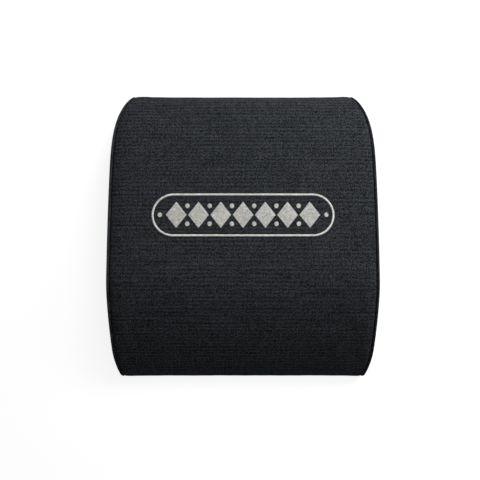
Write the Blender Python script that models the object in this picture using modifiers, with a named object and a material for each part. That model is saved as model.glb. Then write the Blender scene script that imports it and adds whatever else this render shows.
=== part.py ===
"""Ab mat: a humped foam pad in a sewn fabric cover that a zip closes at its thick end.

Lengths are in metres. The pad lies on the floor, which is z = 0, with the middle of its
footprint at the origin. X runs across it, and +Y points from its thin end to its thick
end. The side profile is one closed outline of stations in the YZ plane. The cover's
panels and the foam core are grids laid along those stations, so that they all follow
the same lines. A place across the pad is first given as if the sides ran straight, and
the plan outline then draws it in toward the ends.
"""
import math
from collections import namedtuple

import bmesh
import bpy
from mathutils import Vector

# Overall size of the pad, cover included
PAD_LENGTH = 0.343
PAD_WIDTH = 0.310
PAD_HEIGHT = 0.066

# Side profile: a short wall, a rise to the peak, a long fall and a taller wall
THIN_WALL_HEIGHT = 0.010
THIN_RISE_HANDLE = 0.007
PEAK_FROM_THIN_END = 0.120
PEAK_THIN_HANDLE = 0.044
PEAK_THICK_HANDLE = 0.066
THICK_ROUND_HANDLE = 0.036
BASE_EDGE_RADIUS = 0.0025
BASE_TURN_UP = 0.0005

# Plan outline: how far each side draws in at the ends, and over what length
THIN_DRAW_IN = 0.0052
THIN_DRAW_IN_LENGTH = 0.039
THIN_DRAW_IN_POWER = 2
THICK_DRAW_IN = 0.020
THICK_DRAW_IN_LENGTH = 0.114
THICK_DRAW_IN_POWER = 4

# Cover: fabric, the seams to the side panels and the crown's fall toward them
FABRIC_THICKNESS = 0.0012
PIECE_GAP = 0.0003
SEAM_GAP = 0.0006
SEAM_INSET = 0.0040
SEAM_FOLD_RADIUS = 0.0010
SEAM_ALLOWANCE = 0.0060
CROWN_FALL = 0.0025
CROWN_FALL_WIDTH = 0.018
CROWN_FALL_START = 0.024

# Side panels: the rolled shoulder outside the seam and the slight bulge of the face
SHOULDER_DEPTH = 0.0048
SHOULDER_SINK = 0.0002
SIDE_BULGE = 0.0006

# Foam core: the rebate that the seam allowances lie in
REBATE_DEPTH_ACROSS = 0.0026
REBATE_WIDTH = 0.0068
REBATE_SLOPE = 0.0025
FOAM_SIDE_GAP = 0.0010

# The line inside the pad that the side faces close on
SPINE_END_INSET = 0.030
SPINE_HEIGHT_SHARE = 0.42
SIDE_MIDDLE_SHARE = 0.5

# Zip: tapes and moulded teeth
TAPE_THICKNESS = 0.0006
TAPE_WIDTH = 0.0072
TAPE_BASE_MARGIN = 0.0006
TAPE_TOP_MARGIN = 0.0016
CHAIN_WIDTH = 0.006
CHAIN_THICKNESS = 0.0022
TOOTH_PITCH = 0.0030
TOOTH_NECK_WIDTH = 0.00095
TOOTH_CROSSING = 0.0009
TOOTH_CLEARANCE = 0.0003
TAPE_GRIP_DEPTH = 0.0011
CHAIN_END_MARGIN = 0.013
STOP_LENGTH = 0.003
STOP_WALL = 0.0007
STOP_GAP = 0.0003

# Zip slider
SLIDER_LENGTH = 0.011
SLIDER_FRONT_HEIGHT = 0.0094
SLIDER_REAR_HEIGHT = 0.0086
SLIDER_PLATE = 0.0012
SLIDER_CORNER_RADIUS = 0.0018
SLIDER_EDGE_RADIUS = 0.0003
CHAIN_CLEARANCE = 0.0003
TAPE_CLEARANCE = 0.00035
HEM_CLEARANCE = 0.0006
WEDGE_LENGTH = 0.0040
WEDGE_HEIGHT = 0.0030
WEDGE_FRONT_MARGIN = 0.0003
RELIEF_CLEARANCE = 0.0005

# Pull tab and the bridge that holds it on the slider
BRIDGE_LENGTH = 0.0052
BRIDGE_WIDTH = 0.0022
BRIDGE_THICKNESS = 0.0008
BRIDGE_ROOT = 0.0004
PULL_LENGTH = 0.0240
PULL_THICKNESS = 0.0010
PULL_EYE_WIDTH = 0.0052
PULL_GRIP_WIDTH = 0.0062
PULL_BAR_WIDTH = 0.0010
PULL_CLEARANCE = 0.00025
PULL_HOLE_LENGTH = 0.0036
PULL_HOLE_CLEARANCE = 0.00035
PULL_CORNER_RADIUS = 0.0014
PULL_EDGE_RADIUS = 0.00025
GRIP_RECESS_DEPTH = 0.0002
GRIP_RECESS_LENGTH = 0.0090
GRIP_RECESS_WIDTH = 0.0032

# How far a cutter runs past what it cuts, and how close points are that are one
OVERRUN = 0.002
WELD_DISTANCE = 0.00001

# How finely the curves are divided
RISE_STEPS = 10
FALL_STEPS = 16
CORNER_STEPS = 2
FOLD_STEPS = 2
SHOULDER_STEPS = 2
CROWN_STEPS = 3
BASE_END_STEPS = 4
ROUNDING_STEPS = 3
SHARP_ANGLE = math.radians(50)

# Places that follow from the sizes above
HALF_LENGTH = PAD_LENGTH / 2
SIDE_FACE = PAD_WIDTH / 2 - SIDE_BULGE
SEAM_LINE = PAD_WIDTH / 2 - SEAM_INSET
BAND_EDGE = SEAM_LINE - SEAM_GAP / 2
SIDE_EDGE = SEAM_LINE + SEAM_GAP / 2
REBATE_FACE = SEAM_LINE - REBATE_DEPTH_ACROSS
SHOULDER_HALF = (SIDE_FACE - SIDE_EDGE) / 2
LINING_DEPTH = FABRIC_THICKNESS + PIECE_GAP
BASE_SEAM_HEIGHT = BASE_EDGE_RADIUS + BASE_TURN_UP

CHAIN_HALF = CHAIN_WIDTH / 2
TAPE_EDGE = CHAIN_HALF + PIECE_GAP - TAPE_GRIP_DEPTH
ZIP_HEIGHT = BASE_SEAM_HEIGHT + TAPE_BASE_MARGIN + TAPE_WIDTH + TAPE_EDGE
THICK_WALL_HEIGHT = ZIP_HEIGHT + TAPE_EDGE + TAPE_WIDTH + TAPE_TOP_MARGIN
HEM_OPENING = SLIDER_FRONT_HEIGHT + 2 * HEM_CLEARANCE
CHAIN_PLANE = HALF_LENGTH - LINING_DEPTH - TAPE_THICKNESS / 2
FOAM_WALL_DEPTH = LINING_DEPTH + TAPE_THICKNESS + PIECE_GAP

ZipRun = namedtuple("ZipRun", "tape_half start end teeth slider stop")
Station = namedtuple("Station", "place out spine")
Profile = namedtuple("Profile", "top facing base")


def smooth(share):
    """Ease from 0 to 1 with level ends."""
    share = min(max(share, 0), 1)
    return share * share * (3 - 2 * share)


def narrowing(y):
    """What is left of the width at y, as the sides draw in toward both ends."""
    thin = max(0, (THIN_DRAW_IN_LENGTH - HALF_LENGTH - y) / THIN_DRAW_IN_LENGTH)
    thick = max(0, (y - HALF_LENGTH + THICK_DRAW_IN_LENGTH) / THICK_DRAW_IN_LENGTH)
    drawn_in = THIN_DRAW_IN * thin ** THIN_DRAW_IN_POWER + THICK_DRAW_IN * thick ** THICK_DRAW_IN_POWER
    return 1 - drawn_in / SEAM_LINE


def curve_places(start, start_handle, end_handle, end, steps):
    """Places along a cubic curve, from its start to one step before its end."""
    places = []
    for step in range(steps):
        t = step / steps
        s = 1 - t
        places.append(s**3 * start + 3 * s * s * t * start_handle + 3 * s * t * t * end_handle + t**3 * end)
    return places


def corner_places(y_centre, start_angle):
    """Places round a quarter circle at one of the base's ends, clockwise."""
    centre = Vector((y_centre, BASE_EDGE_RADIUS))
    angles = [start_angle - math.pi / 2 * step / CORNER_STEPS for step in range(CORNER_STEPS + 1)]
    return [centre + BASE_EDGE_RADIUS * Vector((math.cos(a), math.sin(a))) for a in angles]


def top_places():
    """From the base seam at the thin end, over the hump, to the hem above the zip."""
    thin_top = Vector((-HALF_LENGTH, THIN_WALL_HEIGHT))
    peak = Vector((PEAK_FROM_THIN_END - HALF_LENGTH, PAD_HEIGHT))
    thick_top = Vector((HALF_LENGTH, THICK_WALL_HEIGHT))
    rise_handle = thin_top + Vector((0, THIN_RISE_HANDLE))
    rise = curve_places(thin_top, rise_handle, peak - Vector((PEAK_THIN_HANDLE, 0)), peak, RISE_STEPS)
    fall_handle = thick_top + Vector((0, THICK_ROUND_HANDLE))
    fall = curve_places(peak, peak + Vector((PEAK_THICK_HANDLE, 0)), fall_handle, thick_top, FALL_STEPS)
    foot = Vector((-HALF_LENGTH, BASE_SEAM_HEIGHT + SEAM_GAP / 2))
    hem = Vector((HALF_LENGTH, ZIP_HEIGHT + HEM_OPENING / 2))
    return [foot] + rise + fall + [thick_top, hem]


def facing_places():
    """From the hem below the zip down to the base seam at the thick end."""
    hem = Vector((HALF_LENGTH, ZIP_HEIGHT - HEM_OPENING / 2))
    foot = Vector((HALF_LENGTH, BASE_SEAM_HEIGHT + SEAM_GAP / 2))
    return [hem, foot]


def base_places(middle):
    """From the thick end's base seam, under the pad, to the thin end's base seam.

    The places under the middle of the top lie straight below it, and a few more lie
    between them and each rounded end.
    """
    thick = corner_places(HALF_LENGTH - BASE_EDGE_RADIUS, 0)
    thin = corner_places(BASE_EDGE_RADIUS - HALF_LENGTH, -math.pi / 2)
    flat = [Vector((place.x, 0)) for place in reversed(middle)]
    ends = [share / BASE_END_STEPS for share in range(1, BASE_END_STEPS)]
    to_thick = [thick[-1].lerp(flat[0], share) for share in ends]
    to_thin = [flat[-1].lerp(thin[0], share) for share in ends]
    thick_foot = Vector((HALF_LENGTH, BASE_SEAM_HEIGHT - SEAM_GAP / 2))
    thin_foot = Vector((-HALF_LENGTH, BASE_SEAM_HEIGHT - SEAM_GAP / 2))
    return [thick_foot] + thick + to_thick + flat + to_thin + thin + [thin_foot]


def mitred_out(before, place, after):
    """Outward at a place, so long that an outline moved along it stays parallel."""
    first = (place - before).normalized()
    second = (after - place).normalized()
    return Vector((-first.y - second.y, first.x + second.x)) / (1 + first.dot(second))


def side_profile():
    """The closed side outline as stations, each with its point on the spine inside."""
    top = top_places()
    reach = HALF_LENGTH - SPINE_END_INSET
    middle = [place for place in top if abs(place.x) < reach]
    loop = top + facing_places() + base_places(middle)
    stations = []
    for index, place in enumerate(loop):
        after = loop[(index + 1) % len(loop)]
        above = min(middle, key=lambda other: abs(other.x - place.x))
        spine = Vector((above.x, SPINE_HEIGHT_SHARE * above.y))
        stations.append(Station(place, mitred_out(loop[index - 1], place, after), spine))
    facing_start = len(top)
    base_start = facing_start + len(facing_places())
    return Profile(stations[:facing_start], stations[facing_start:base_start], stations[base_start:])


def skin_place(station, across, depth, inset, spine_share):
    """A point of a panel or of the core.

    across is the place across the pad before its ends draw in. depth moves it straight
    in from the outline, inset is its distance from the outline where it lies further
    in than that, and spine_share moves it that share of what is left to the spine.
    """
    past = min(abs(across), SEAM_LINE) - SEAM_LINE + CROWN_FALL_WIDTH
    height = (station.place.y - CROWN_FALL_START) / (PAD_HEIGHT - CROWN_FALL_START)
    fall = CROWN_FALL * smooth(height) * (max(0, past) / CROWN_FALL_WIDTH) ** 2
    place = station.place - station.out * (fall + depth)
    share = max(0, inset - depth) / (place - station.spine).dot(station.out)
    place = place.lerp(station.spine, share + (1 - share) * spine_share)
    return Vector((across * narrowing(place.x), place.x, place.y))


def grid_mesh(name, stations, columns, closed=False, depths=None):
    """A grid of stations by columns, each column being (across, inset, spine_share)."""
    rows = list(zip(stations, depths or [0] * len(stations)))
    if closed:
        rows.append(rows[0])
    bm = bmesh.new()
    bmesh.ops.create_grid(bm, x_segments=len(columns) - 1, y_segments=len(rows) - 1, size=1)
    bm.verts.ensure_lookup_table()
    for index, vert in enumerate(bm.verts):
        row, column = divmod(index, len(columns))
        station, depth = rows[row]
        across, inset, spine_share = columns[column]
        vert.co = skin_place(station, across, depth, inset, spine_share)
    bmesh.ops.remove_doubles(bm, verts=bm.verts, dist=WELD_DISTANCE)
    mesh = bpy.data.meshes.new(name)
    bm.to_mesh(mesh)
    bm.free()
    mesh.shade_smooth()
    return mesh


def both_sides(half):
    """A list of columns from the left edge to the right, from those of the right half."""
    left = [(-across, inset, share) for across, inset, share in reversed(half) if across]
    return left + half


def fold_columns():
    """The right edge of a band panel: round the fold and in along the allowance."""
    columns = []
    for step in range(FOLD_STEPS + 1):
        angle = math.pi / 2 * step / FOLD_STEPS
        across = BAND_EDGE - SEAM_FOLD_RADIUS * (1 - math.sin(angle))
        columns.append((across, SEAM_FOLD_RADIUS * (1 - math.cos(angle)), 0))
    return columns + [(BAND_EDGE, SHOULDER_SINK + SHOULDER_HALF, 0), (BAND_EDGE, SEAM_ALLOWANCE, 0)]


def crown_columns():
    """From the middle of the pad out over the part where the crown falls."""
    start = SEAM_LINE - CROWN_FALL_WIDTH
    falling = [start + CROWN_FALL_WIDTH * step / CROWN_STEPS for step in range(CROWN_STEPS)]
    return [(0, 0, 0), (start / 2, 0, 0)] + [(across, 0, 0) for across in falling]


def face_columns(face):
    """A side face from its frame to the spine, with its bulge."""
    frame = REBATE_WIDTH + REBATE_SLOPE
    middle = face + SIDE_BULGE * SIDE_MIDDLE_SHARE
    return [(face, frame, 0), (middle, frame, SIDE_MIDDLE_SHARE), (face + SIDE_BULGE, 0, 1)]


def side_columns():
    """The right side panel, from its turned-in edge over the shoulder to the spine."""
    columns = [(SIDE_EDGE, SEAM_ALLOWANCE, 0)]
    for step in range(2 * SHOULDER_STEPS + 1):
        angle = math.pi / 2 * step / SHOULDER_STEPS
        drop = SHOULDER_HALF if step < SHOULDER_STEPS else SHOULDER_DEPTH
        inset = SHOULDER_SINK + drop * (1 - math.sin(angle))
        columns.append((SIDE_EDGE + SHOULDER_HALF * (1 - math.cos(angle)), inset, 0))
    return columns + face_columns(SIDE_FACE)


def foam_columns():
    """The right half of the core: its top, the rebate for the seam and the side face."""
    rebate = [(REBATE_FACE, 0, 0), (REBATE_FACE, REBATE_WIDTH, 0)]
    return crown_columns() + rebate + face_columns(SIDE_FACE - FABRIC_THICKNESS - FOAM_SIDE_GAP)


def new_object(name, data, collection, material=None):
    """Put data in an object of that name and in a collection, and give it its material."""
    thing = bpy.data.objects.new(name, data)
    collection.objects.link(thing)
    if material:
        data.materials.append(material)
    return thing


def new_material(name, colour, roughness, metallic=0):
    """A plain Principled material."""
    material = bpy.data.materials.new(name)
    material.use_nodes = True
    shader = material.node_tree.nodes["Principled BSDF"]
    shader.inputs["Base Color"].default_value = (*colour, 1)
    shader.inputs["Roughness"].default_value = roughness
    shader.inputs["Metallic"].default_value = metallic
    return material


def add_thickness(thing):
    """Give a panel its fabric's thickness, on its inner side."""
    solidify = thing.modifiers.new("Fabric", "SOLIDIFY")
    solidify.thickness = FABRIC_THICKNESS
    solidify.offset = -1
    solidify.use_even_offset = True
    solidify.use_quality_normals = True


def add_matched_triangles(thing):
    """Split the four-sided faces the same way on both sides of the pad."""
    triangles = thing.modifiers.new("Triangles", "TRIANGULATE")
    triangles.quad_method = "SHORTEST_DIAGONAL"


def add_bevel(thing, width):
    """Round a prism's sharp edges."""
    bevel = thing.modifiers.new("Edges", "BEVEL")
    bevel.width = width
    bevel.segments = 1
    bevel.limit_method = "ANGLE"
    bevel.angle_limit = SHARP_ANGLE


def add_boolean(thing, cutter, operation):
    """Cut a thing with another, or join the other to it."""
    boolean = thing.modifiers.new(cutter.name, "BOOLEAN")
    boolean.object = cutter
    boolean.operation = operation
    boolean.solver = "EXACT"


def hide_cutter(cutter):
    """Keep a cutter out of the finished part."""
    cutter.hide_render = True
    cutter.display_type = "WIRE"


def box_mesh(name, size):
    """A box of that size round its own middle."""
    bm = bmesh.new()
    bmesh.ops.create_cube(bm, size=1)
    bmesh.ops.scale(bm, vec=size, verts=bm.verts)
    mesh = bpy.data.meshes.new(name)
    bm.to_mesh(mesh)
    bm.free()
    return mesh


def rounded(corners, radius):
    """An outline whose corners are rounded, each as a short curve."""
    points = []
    for index, corner in enumerate(corners):
        before = corners[index - 1]
        after = corners[(index + 1) % len(corners)]
        start = corner + (before - corner).normalized() * min(radius, (before - corner).length / 2)
        end = corner + (after - corner).normalized() * min(radius, (after - corner).length / 2)
        for step in range(ROUNDING_STEPS + 1):
            t = step / ROUNDING_STEPS
            points.append(start.lerp(corner, t).lerp(corner.lerp(end, t), t))
    return points


def prism_mesh(name, outline, thickness):
    """A flat outline in the XY plane, given a thickness to both sides of it."""
    bm = bmesh.new()
    face = bm.faces.new([bm.verts.new((point.x, point.y, -thickness / 2)) for point in outline])
    extruded = bmesh.ops.extrude_face_region(bm, geom=[face])
    lid = [item for item in extruded["geom"] if isinstance(item, bmesh.types.BMVert)]
    bmesh.ops.translate(bm, vec=(0, 0, thickness), verts=lid)
    bmesh.ops.recalc_face_normals(bm, faces=bm.faces)
    mesh = bpy.data.meshes.new(name)
    bm.to_mesh(mesh)
    bm.free()
    return mesh


def zip_run():
    """Where the zip's pieces lie along the thick end, counted from its middle."""
    tape_half = (REBATE_FACE - PIECE_GAP) * narrowing(HALF_LENGTH)
    stop = tape_half - CHAIN_END_MARGIN + STOP_LENGTH / 2
    slider = stop - STOP_LENGTH / 2 - STOP_GAP - SLIDER_LENGTH / 2
    end = slider + SLIDER_LENGTH / 2 - WEDGE_LENGTH - WEDGE_FRONT_MARGIN - STOP_GAP
    teeth = int((end + tape_half - CHAIN_END_MARGIN + STOP_LENGTH) / TOOTH_PITCH)
    return ZipRun(tape_half, end - teeth * TOOTH_PITCH, end, teeth, slider, stop)


def teeth_outline(run, phase):
    """One row's outline: a corded edge with teeth that reach down past the zip's middle.

    phase is how far into its pitch a tooth stands. A tooth is wider at its tip than at
    its neck, by so much that the gap to the other row's teeth is the same all the way.
    """
    bead = TOOTH_CROSSING + TOOTH_CLEARANCE
    widening = TOOTH_PITCH - 2 * TOOTH_CLEARANCE - 2 * TOOTH_NECK_WIDTH
    tip_width = TOOTH_NECK_WIDTH + widening * (bead + TOOTH_CROSSING) / (2 * bead)
    outline = [Vector((run.end, bead)), Vector((run.end, CHAIN_HALF))]
    outline += [Vector((run.start, CHAIN_HALF)), Vector((run.start, bead))]
    for tooth in range(run.teeth):
        middle = run.start + (tooth + phase) * TOOTH_PITCH
        outline.append(Vector((middle - TOOTH_NECK_WIDTH / 2, bead)))
        outline.append(Vector((middle - tip_width / 2, -TOOTH_CROSSING)))
        outline.append(Vector((middle + tip_width / 2, -TOOTH_CROSSING)))
        outline.append(Vector((middle + TOOTH_NECK_WIDTH / 2, bead)))
    return outline


def make_cover(part, profile, fabric, base_fabric):
    """The fabric panels, each a sheet with its edges turned in at the seams."""
    crowned = both_sides(crown_columns() + fold_columns())
    flat = both_sides([(0, 0, 0)] + fold_columns())
    right = side_columns()
    left = [(-across, inset, share) for across, inset, share in reversed(right)]
    loop = profile.top + profile.facing + profile.base
    panels = (
        ("top_panel", profile.top, crowned, False, fabric),
        ("zip_facing_strip", profile.facing, flat, False, fabric),
        ("base_panel", profile.base, flat, False, base_fabric),
        ("right_side_panel", loop, right, True, fabric),
        ("left_side_panel", loop, left, True, fabric),
    )
    for name, stations, columns, closed, cloth in panels:
        panel = new_object(name, grid_mesh(name, stations, columns, closed), part, cloth)
        add_matched_triangles(panel)
        add_thickness(panel)


def make_core(part, cutters, profile, foam):
    """The moulded foam core, with a relief along its thick end for the slider's back."""
    loop = profile.top + profile.facing + profile.base
    zip_wall = HALF_LENGTH - WELD_DISTANCE
    depths = [FOAM_WALL_DEPTH if s.place.x > zip_wall else LINING_DEPTH for s in loop]
    mesh = grid_mesh("foam_core", loop, both_sides(foam_columns()), True, depths)
    core = new_object("foam_core", mesh, part, foam)
    add_matched_triangles(core)
    back = CHAIN_PLANE - CHAIN_THICKNESS / 2 - CHAIN_CLEARANCE - SLIDER_PLATE - RELIEF_CLEARANCE
    depth = HALF_LENGTH + OVERRUN - back
    size = (PAD_WIDTH + OVERRUN, depth, HEM_OPENING)
    relief = new_object("zip_relief_cutter", box_mesh("zip_relief_cutter", size), cutters)
    relief.location = (0, back + depth / 2, ZIP_HEIGHT)
    hide_cutter(relief)
    add_boolean(core, relief, "DIFFERENCE")


def make_tapes_and_teeth(part, cutters, run, tape_cloth, tooth_plastic):
    """The two tapes, each with a row of teeth gripping its edge."""
    size = (2 * run.tape_half, TAPE_THICKNESS, TAPE_WIDTH)
    grip_size = (PAD_WIDTH, TAPE_THICKNESS + 2 * PIECE_GAP, 2 * TAPE_GRIP_DEPTH)
    for side, phase, up in (("upper", 1 / 4, 1), ("lower", 3 / 4, -1)):
        tape = new_object("zip_tape_" + side, box_mesh("zip_tape_" + side, size), part, tape_cloth)
        tape.location = (0, CHAIN_PLANE, ZIP_HEIGHT + up * (TAPE_EDGE + TAPE_WIDTH / 2))
        mesh = prism_mesh("zip_teeth_" + side, teeth_outline(run, phase), CHAIN_THICKNESS)
        row = new_object("zip_teeth_" + side, mesh, part, tooth_plastic)
        row.location = (0, CHAIN_PLANE, ZIP_HEIGHT)
        row.rotation_euler = (up * math.pi / 2, 0, 0)
        grip = new_object("tape_grip_cutter_" + side, box_mesh("tape_grip", grip_size), cutters)
        grip.location = (0, CHAIN_PLANE, ZIP_HEIGHT + up * CHAIN_HALF)
        hide_cutter(grip)
        add_boolean(row, grip, "DIFFERENCE")


def clamp_outline(low, high, open_low):
    """A stop's section: a bar with a slot for the tape at its top, and at its foot too."""
    slot = TAPE_THICKNESS / 2 + PIECE_GAP
    half = slot + STOP_WALL
    floor = TAPE_EDGE - PIECE_GAP
    outline = [(half, low), (half, high), (slot, high), (slot, floor)]
    outline += [(-slot, floor), (-slot, high), (-half, high), (-half, low)]
    if open_low:
        outline += [(-slot, low), (-slot, -floor), (slot, -floor), (slot, low)]
    return [Vector(point) for point in outline]


def make_stops(part, run, metal):
    """The stops: one on each tape at the closed end, and one across both at the other."""
    bead = TOOTH_CROSSING + TOOTH_CLEARANCE
    top = prism_mesh("zip_top_stop", clamp_outline(bead, CHAIN_HALF, False), STOP_LENGTH)
    bottom = prism_mesh("zip_bottom_stop", clamp_outline(-CHAIN_HALF, CHAIN_HALF, True), STOP_LENGTH)
    top.materials.append(metal)
    upright = (math.pi / 2, 0, math.pi / 2)
    upper = new_object("zip_top_stop_upper", top, part)
    upper.location = (run.stop, CHAIN_PLANE, ZIP_HEIGHT)
    upper.rotation_euler = upright
    lower = new_object("zip_top_stop_lower", top, part)
    lower.location = (run.stop, CHAIN_PLANE, ZIP_HEIGHT)
    lower.rotation_euler = (-math.pi / 2, 0, math.pi / 2)
    across = new_object("zip_bottom_stop", bottom, part, metal)
    across.location = (run.start - STOP_GAP - STOP_LENGTH / 2, CHAIN_PLANE, ZIP_HEIGHT)
    across.rotation_euler = upright


def make_slider(part, cutters, run, metal):
    """The slider: two plates joined by a wedge, with a channel for the teeth."""
    carriage = bpy.data.objects.new("slider_carriage", None)
    part.objects.link(carriage)
    carriage.location = (run.slider, CHAIN_PLANE, ZIP_HEIGHT)
    channel_depth = CHAIN_THICKNESS + 2 * CHAIN_CLEARANCE
    channel_half = CHAIN_HALF + CHAIN_CLEARANCE
    depth = channel_depth + 2 * SLIDER_PLATE
    half = SLIDER_LENGTH / 2
    outline = [
        Vector((half, SLIDER_FRONT_HEIGHT / 2)),
        Vector((-half, SLIDER_REAR_HEIGHT / 2)),
        Vector((-half, -SLIDER_REAR_HEIGHT / 2)),
        Vector((half, -SLIDER_FRONT_HEIGHT / 2)),
    ]
    body_mesh = prism_mesh("zip_slider", rounded(outline, SLIDER_CORNER_RADIUS), depth)
    slider = new_object("zip_slider", body_mesh, part, metal)
    slider.parent = carriage
    slider.rotation_euler = (math.pi / 2, 0, 0)
    add_bevel(slider, SLIDER_EDGE_RADIUS)

    run_through = SLIDER_LENGTH + 2 * OVERRUN
    channel = box_mesh("chain_channel_cutter", (run_through, channel_depth, 2 * channel_half))
    slot_size = (run_through, TAPE_THICKNESS + 2 * TAPE_CLEARANCE, SLIDER_FRONT_HEIGHT + 2 * OVERRUN)
    slot = box_mesh("tape_slot_cutter", slot_size)
    wedge_middle = half - WEDGE_FRONT_MARGIN - WEDGE_LENGTH / 2
    wedge_outline = [
        Vector((WEDGE_LENGTH / 2, 0)),
        Vector((0, WEDGE_HEIGHT / 2)),
        Vector((-WEDGE_LENGTH / 2, 0)),
        Vector((0, -WEDGE_HEIGHT / 2)),
    ]
    wedge = prism_mesh("wedge", rounded(wedge_outline, WEDGE_FRONT_MARGIN), channel_depth + SLIDER_PLATE)
    bridge = prism_mesh("bridge", bridge_outline(), BRIDGE_WIDTH)
    steps = (
        (channel, "DIFFERENCE", Vector((0, 0, 0)), (0, 0, 0)),
        (slot, "DIFFERENCE", Vector((0, 0, 0)), (0, 0, 0)),
        (wedge, "UNION", Vector((wedge_middle, 0, 0)), (math.pi / 2, 0, 0)),
        (bridge, "UNION", Vector((0, depth / 2, 0)), (0, 0, 0)),
    )
    for mesh, operation, place, turn in steps:
        cutter = new_object(mesh.name, mesh, cutters)
        cutter.parent = carriage
        cutter.location = place
        cutter.rotation_euler = turn
        hide_cutter(cutter)
        add_boolean(slider, cutter, operation)
    return carriage, depth / 2


def bridge_outline():
    """The bridge's arch in plan, its feet a little below the slider's outer face."""
    span = BRIDGE_LENGTH / 2
    inner = span - BRIDGE_THICKNESS
    clear = PULL_THICKNESS + 2 * PULL_CLEARANCE
    outer = [Vector((span, -BRIDGE_ROOT)), Vector((span, clear + BRIDGE_THICKNESS))]
    outer += [Vector((-span, clear + BRIDGE_THICKNESS)), Vector((-span, -BRIDGE_ROOT))]
    bends = rounded(outer, BRIDGE_THICKNESS)[ROUNDING_STEPS + 1:-ROUNDING_STEPS - 1]
    opening = [Vector((-inner, -BRIDGE_ROOT)), Vector((-inner, clear))]
    opening += [Vector((inner, clear)), Vector((inner, -BRIDGE_ROOT))]
    return outer[:1] + bends + outer[-1:] + opening


def make_pull(part, cutters, carriage, face, metal):
    """The pull tab, whose end bar turns under the bridge."""
    hinge = bpy.data.objects.new("pull_hinge", None)
    part.objects.link(hinge)
    hinge.parent = carriage
    hinge.location = (0, face + PULL_CLEARANCE + PULL_THICKNESS / 2, 0)
    eye = PULL_BAR_WIDTH / 2
    far = eye - PULL_LENGTH
    outline = [
        Vector((eye, PULL_EYE_WIDTH / 2)),
        Vector((far, PULL_GRIP_WIDTH / 2)),
        Vector((far, -PULL_GRIP_WIDTH / 2)),
        Vector((eye, -PULL_EYE_WIDTH / 2)),
    ]
    mesh = prism_mesh("zip_pull", rounded(outline, PULL_CORNER_RADIUS), PULL_THICKNESS)
    pull = new_object("zip_pull", mesh, part, metal)
    pull.parent = hinge
    pull.rotation_euler = (math.pi / 2, 0, 0)

    hole_size = (PULL_HOLE_LENGTH, PULL_THICKNESS + OVERRUN, BRIDGE_WIDTH + 2 * PULL_HOLE_CLEARANCE)
    hole = new_object("pull_hole_cutter", box_mesh("pull_hole_cutter", hole_size), cutters)
    hole.location = (-eye - PULL_HOLE_LENGTH / 2, 0, 0)
    half_length = GRIP_RECESS_LENGTH / 2
    half_width = GRIP_RECESS_WIDTH / 2
    corners = [(half_length, half_width), (-half_length, half_width)]
    corners += [(-half_length, -half_width), (half_length, -half_width)]
    recess_outline = rounded([Vector(corner) for corner in corners], half_width)
    recess_mesh = prism_mesh("grip_recess_cutter", recess_outline, 2 * GRIP_RECESS_DEPTH)
    recess = new_object("grip_recess_cutter", recess_mesh, cutters)
    border = (PULL_GRIP_WIDTH - GRIP_RECESS_WIDTH) / 2
    recess.location = (far + border + half_length, PULL_THICKNESS / 2, 0)
    recess.rotation_euler = (math.pi / 2, 0, 0)
    for cutter in (hole, recess):
        cutter.parent = hinge
        hide_cutter(cutter)
    add_boolean(pull, hole, "DIFFERENCE")
    add_bevel(pull, PULL_EDGE_RADIUS)
    add_boolean(pull, recess, "DIFFERENCE")


def main():
    """Clear the scene and make the mat."""
    for thing in list(bpy.data.objects):
        bpy.data.objects.remove(thing)
    part = bpy.data.collections.new("ab_mat")
    cutters = bpy.data.collections.new("ab_mat_cutters")
    bpy.context.scene.collection.children.link(part)
    bpy.context.scene.collection.children.link(cutters)
    fabric = new_material("woven_cover", (0.022, 0.025, 0.028), 0.9)
    base_fabric = new_material("non_slip_base", (0.012, 0.012, 0.013), 0.75)
    foam = new_material("foam", (0.16, 0.16, 0.17), 0.95)
    tape_cloth = new_material("zip_tape", (0.015, 0.016, 0.018), 0.9)
    tooth_plastic = new_material("zip_teeth", (0.012, 0.012, 0.013), 0.4)
    metal = new_material("black_metal", (0.02, 0.02, 0.022), 0.35, 0.8)

    run = zip_run()
    profile = side_profile()
    make_cover(part, profile, fabric, base_fabric)
    make_core(part, cutters, profile, foam)
    make_tapes_and_teeth(part, cutters, run, tape_cloth, tooth_plastic)
    make_stops(part, run, metal)
    carriage, face = make_slider(part, cutters, run, metal)
    make_pull(part, cutters, carriage, face, metal)
    bpy.context.view_layer.update()


main()
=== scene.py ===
"""Ab mat: the finished look of a humped foam pad in a sewn and zipped fabric cover.

Lengths are in metres. The pad lies on z = 0 with +Y toward its thick end, which has the
zip, and X across it. Its side outline is one closed line in the YZ plane. The cover's
panels and the foam are surfaces laid along that line, drawn in toward both ends, and a
short cloth simulation settles the top panel between its seams.
"""

import math
from collections import namedtuple

import bmesh
import bpy
import numpy as np
from bpy.props import FloatProperty, FloatVectorProperty, IntProperty, PointerProperty
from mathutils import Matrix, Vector


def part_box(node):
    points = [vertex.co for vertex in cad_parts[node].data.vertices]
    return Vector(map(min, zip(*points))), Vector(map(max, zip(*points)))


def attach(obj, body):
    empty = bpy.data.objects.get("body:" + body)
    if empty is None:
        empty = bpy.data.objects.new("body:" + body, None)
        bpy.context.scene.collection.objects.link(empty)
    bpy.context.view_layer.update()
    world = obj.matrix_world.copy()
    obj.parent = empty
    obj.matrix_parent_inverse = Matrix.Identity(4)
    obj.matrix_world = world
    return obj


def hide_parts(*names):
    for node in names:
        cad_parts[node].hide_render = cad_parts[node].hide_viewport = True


bl_info = {
    "name": "Ab Mat",
    "version": (1, 0, 0),
    "blender": (4, 5, 0),
    "location": "3D View > Sidebar > Ab Mat",
    "description": "Builds the cover, foam, zip and embroidery of an ab mat",
    "category": "Object",
}

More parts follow.
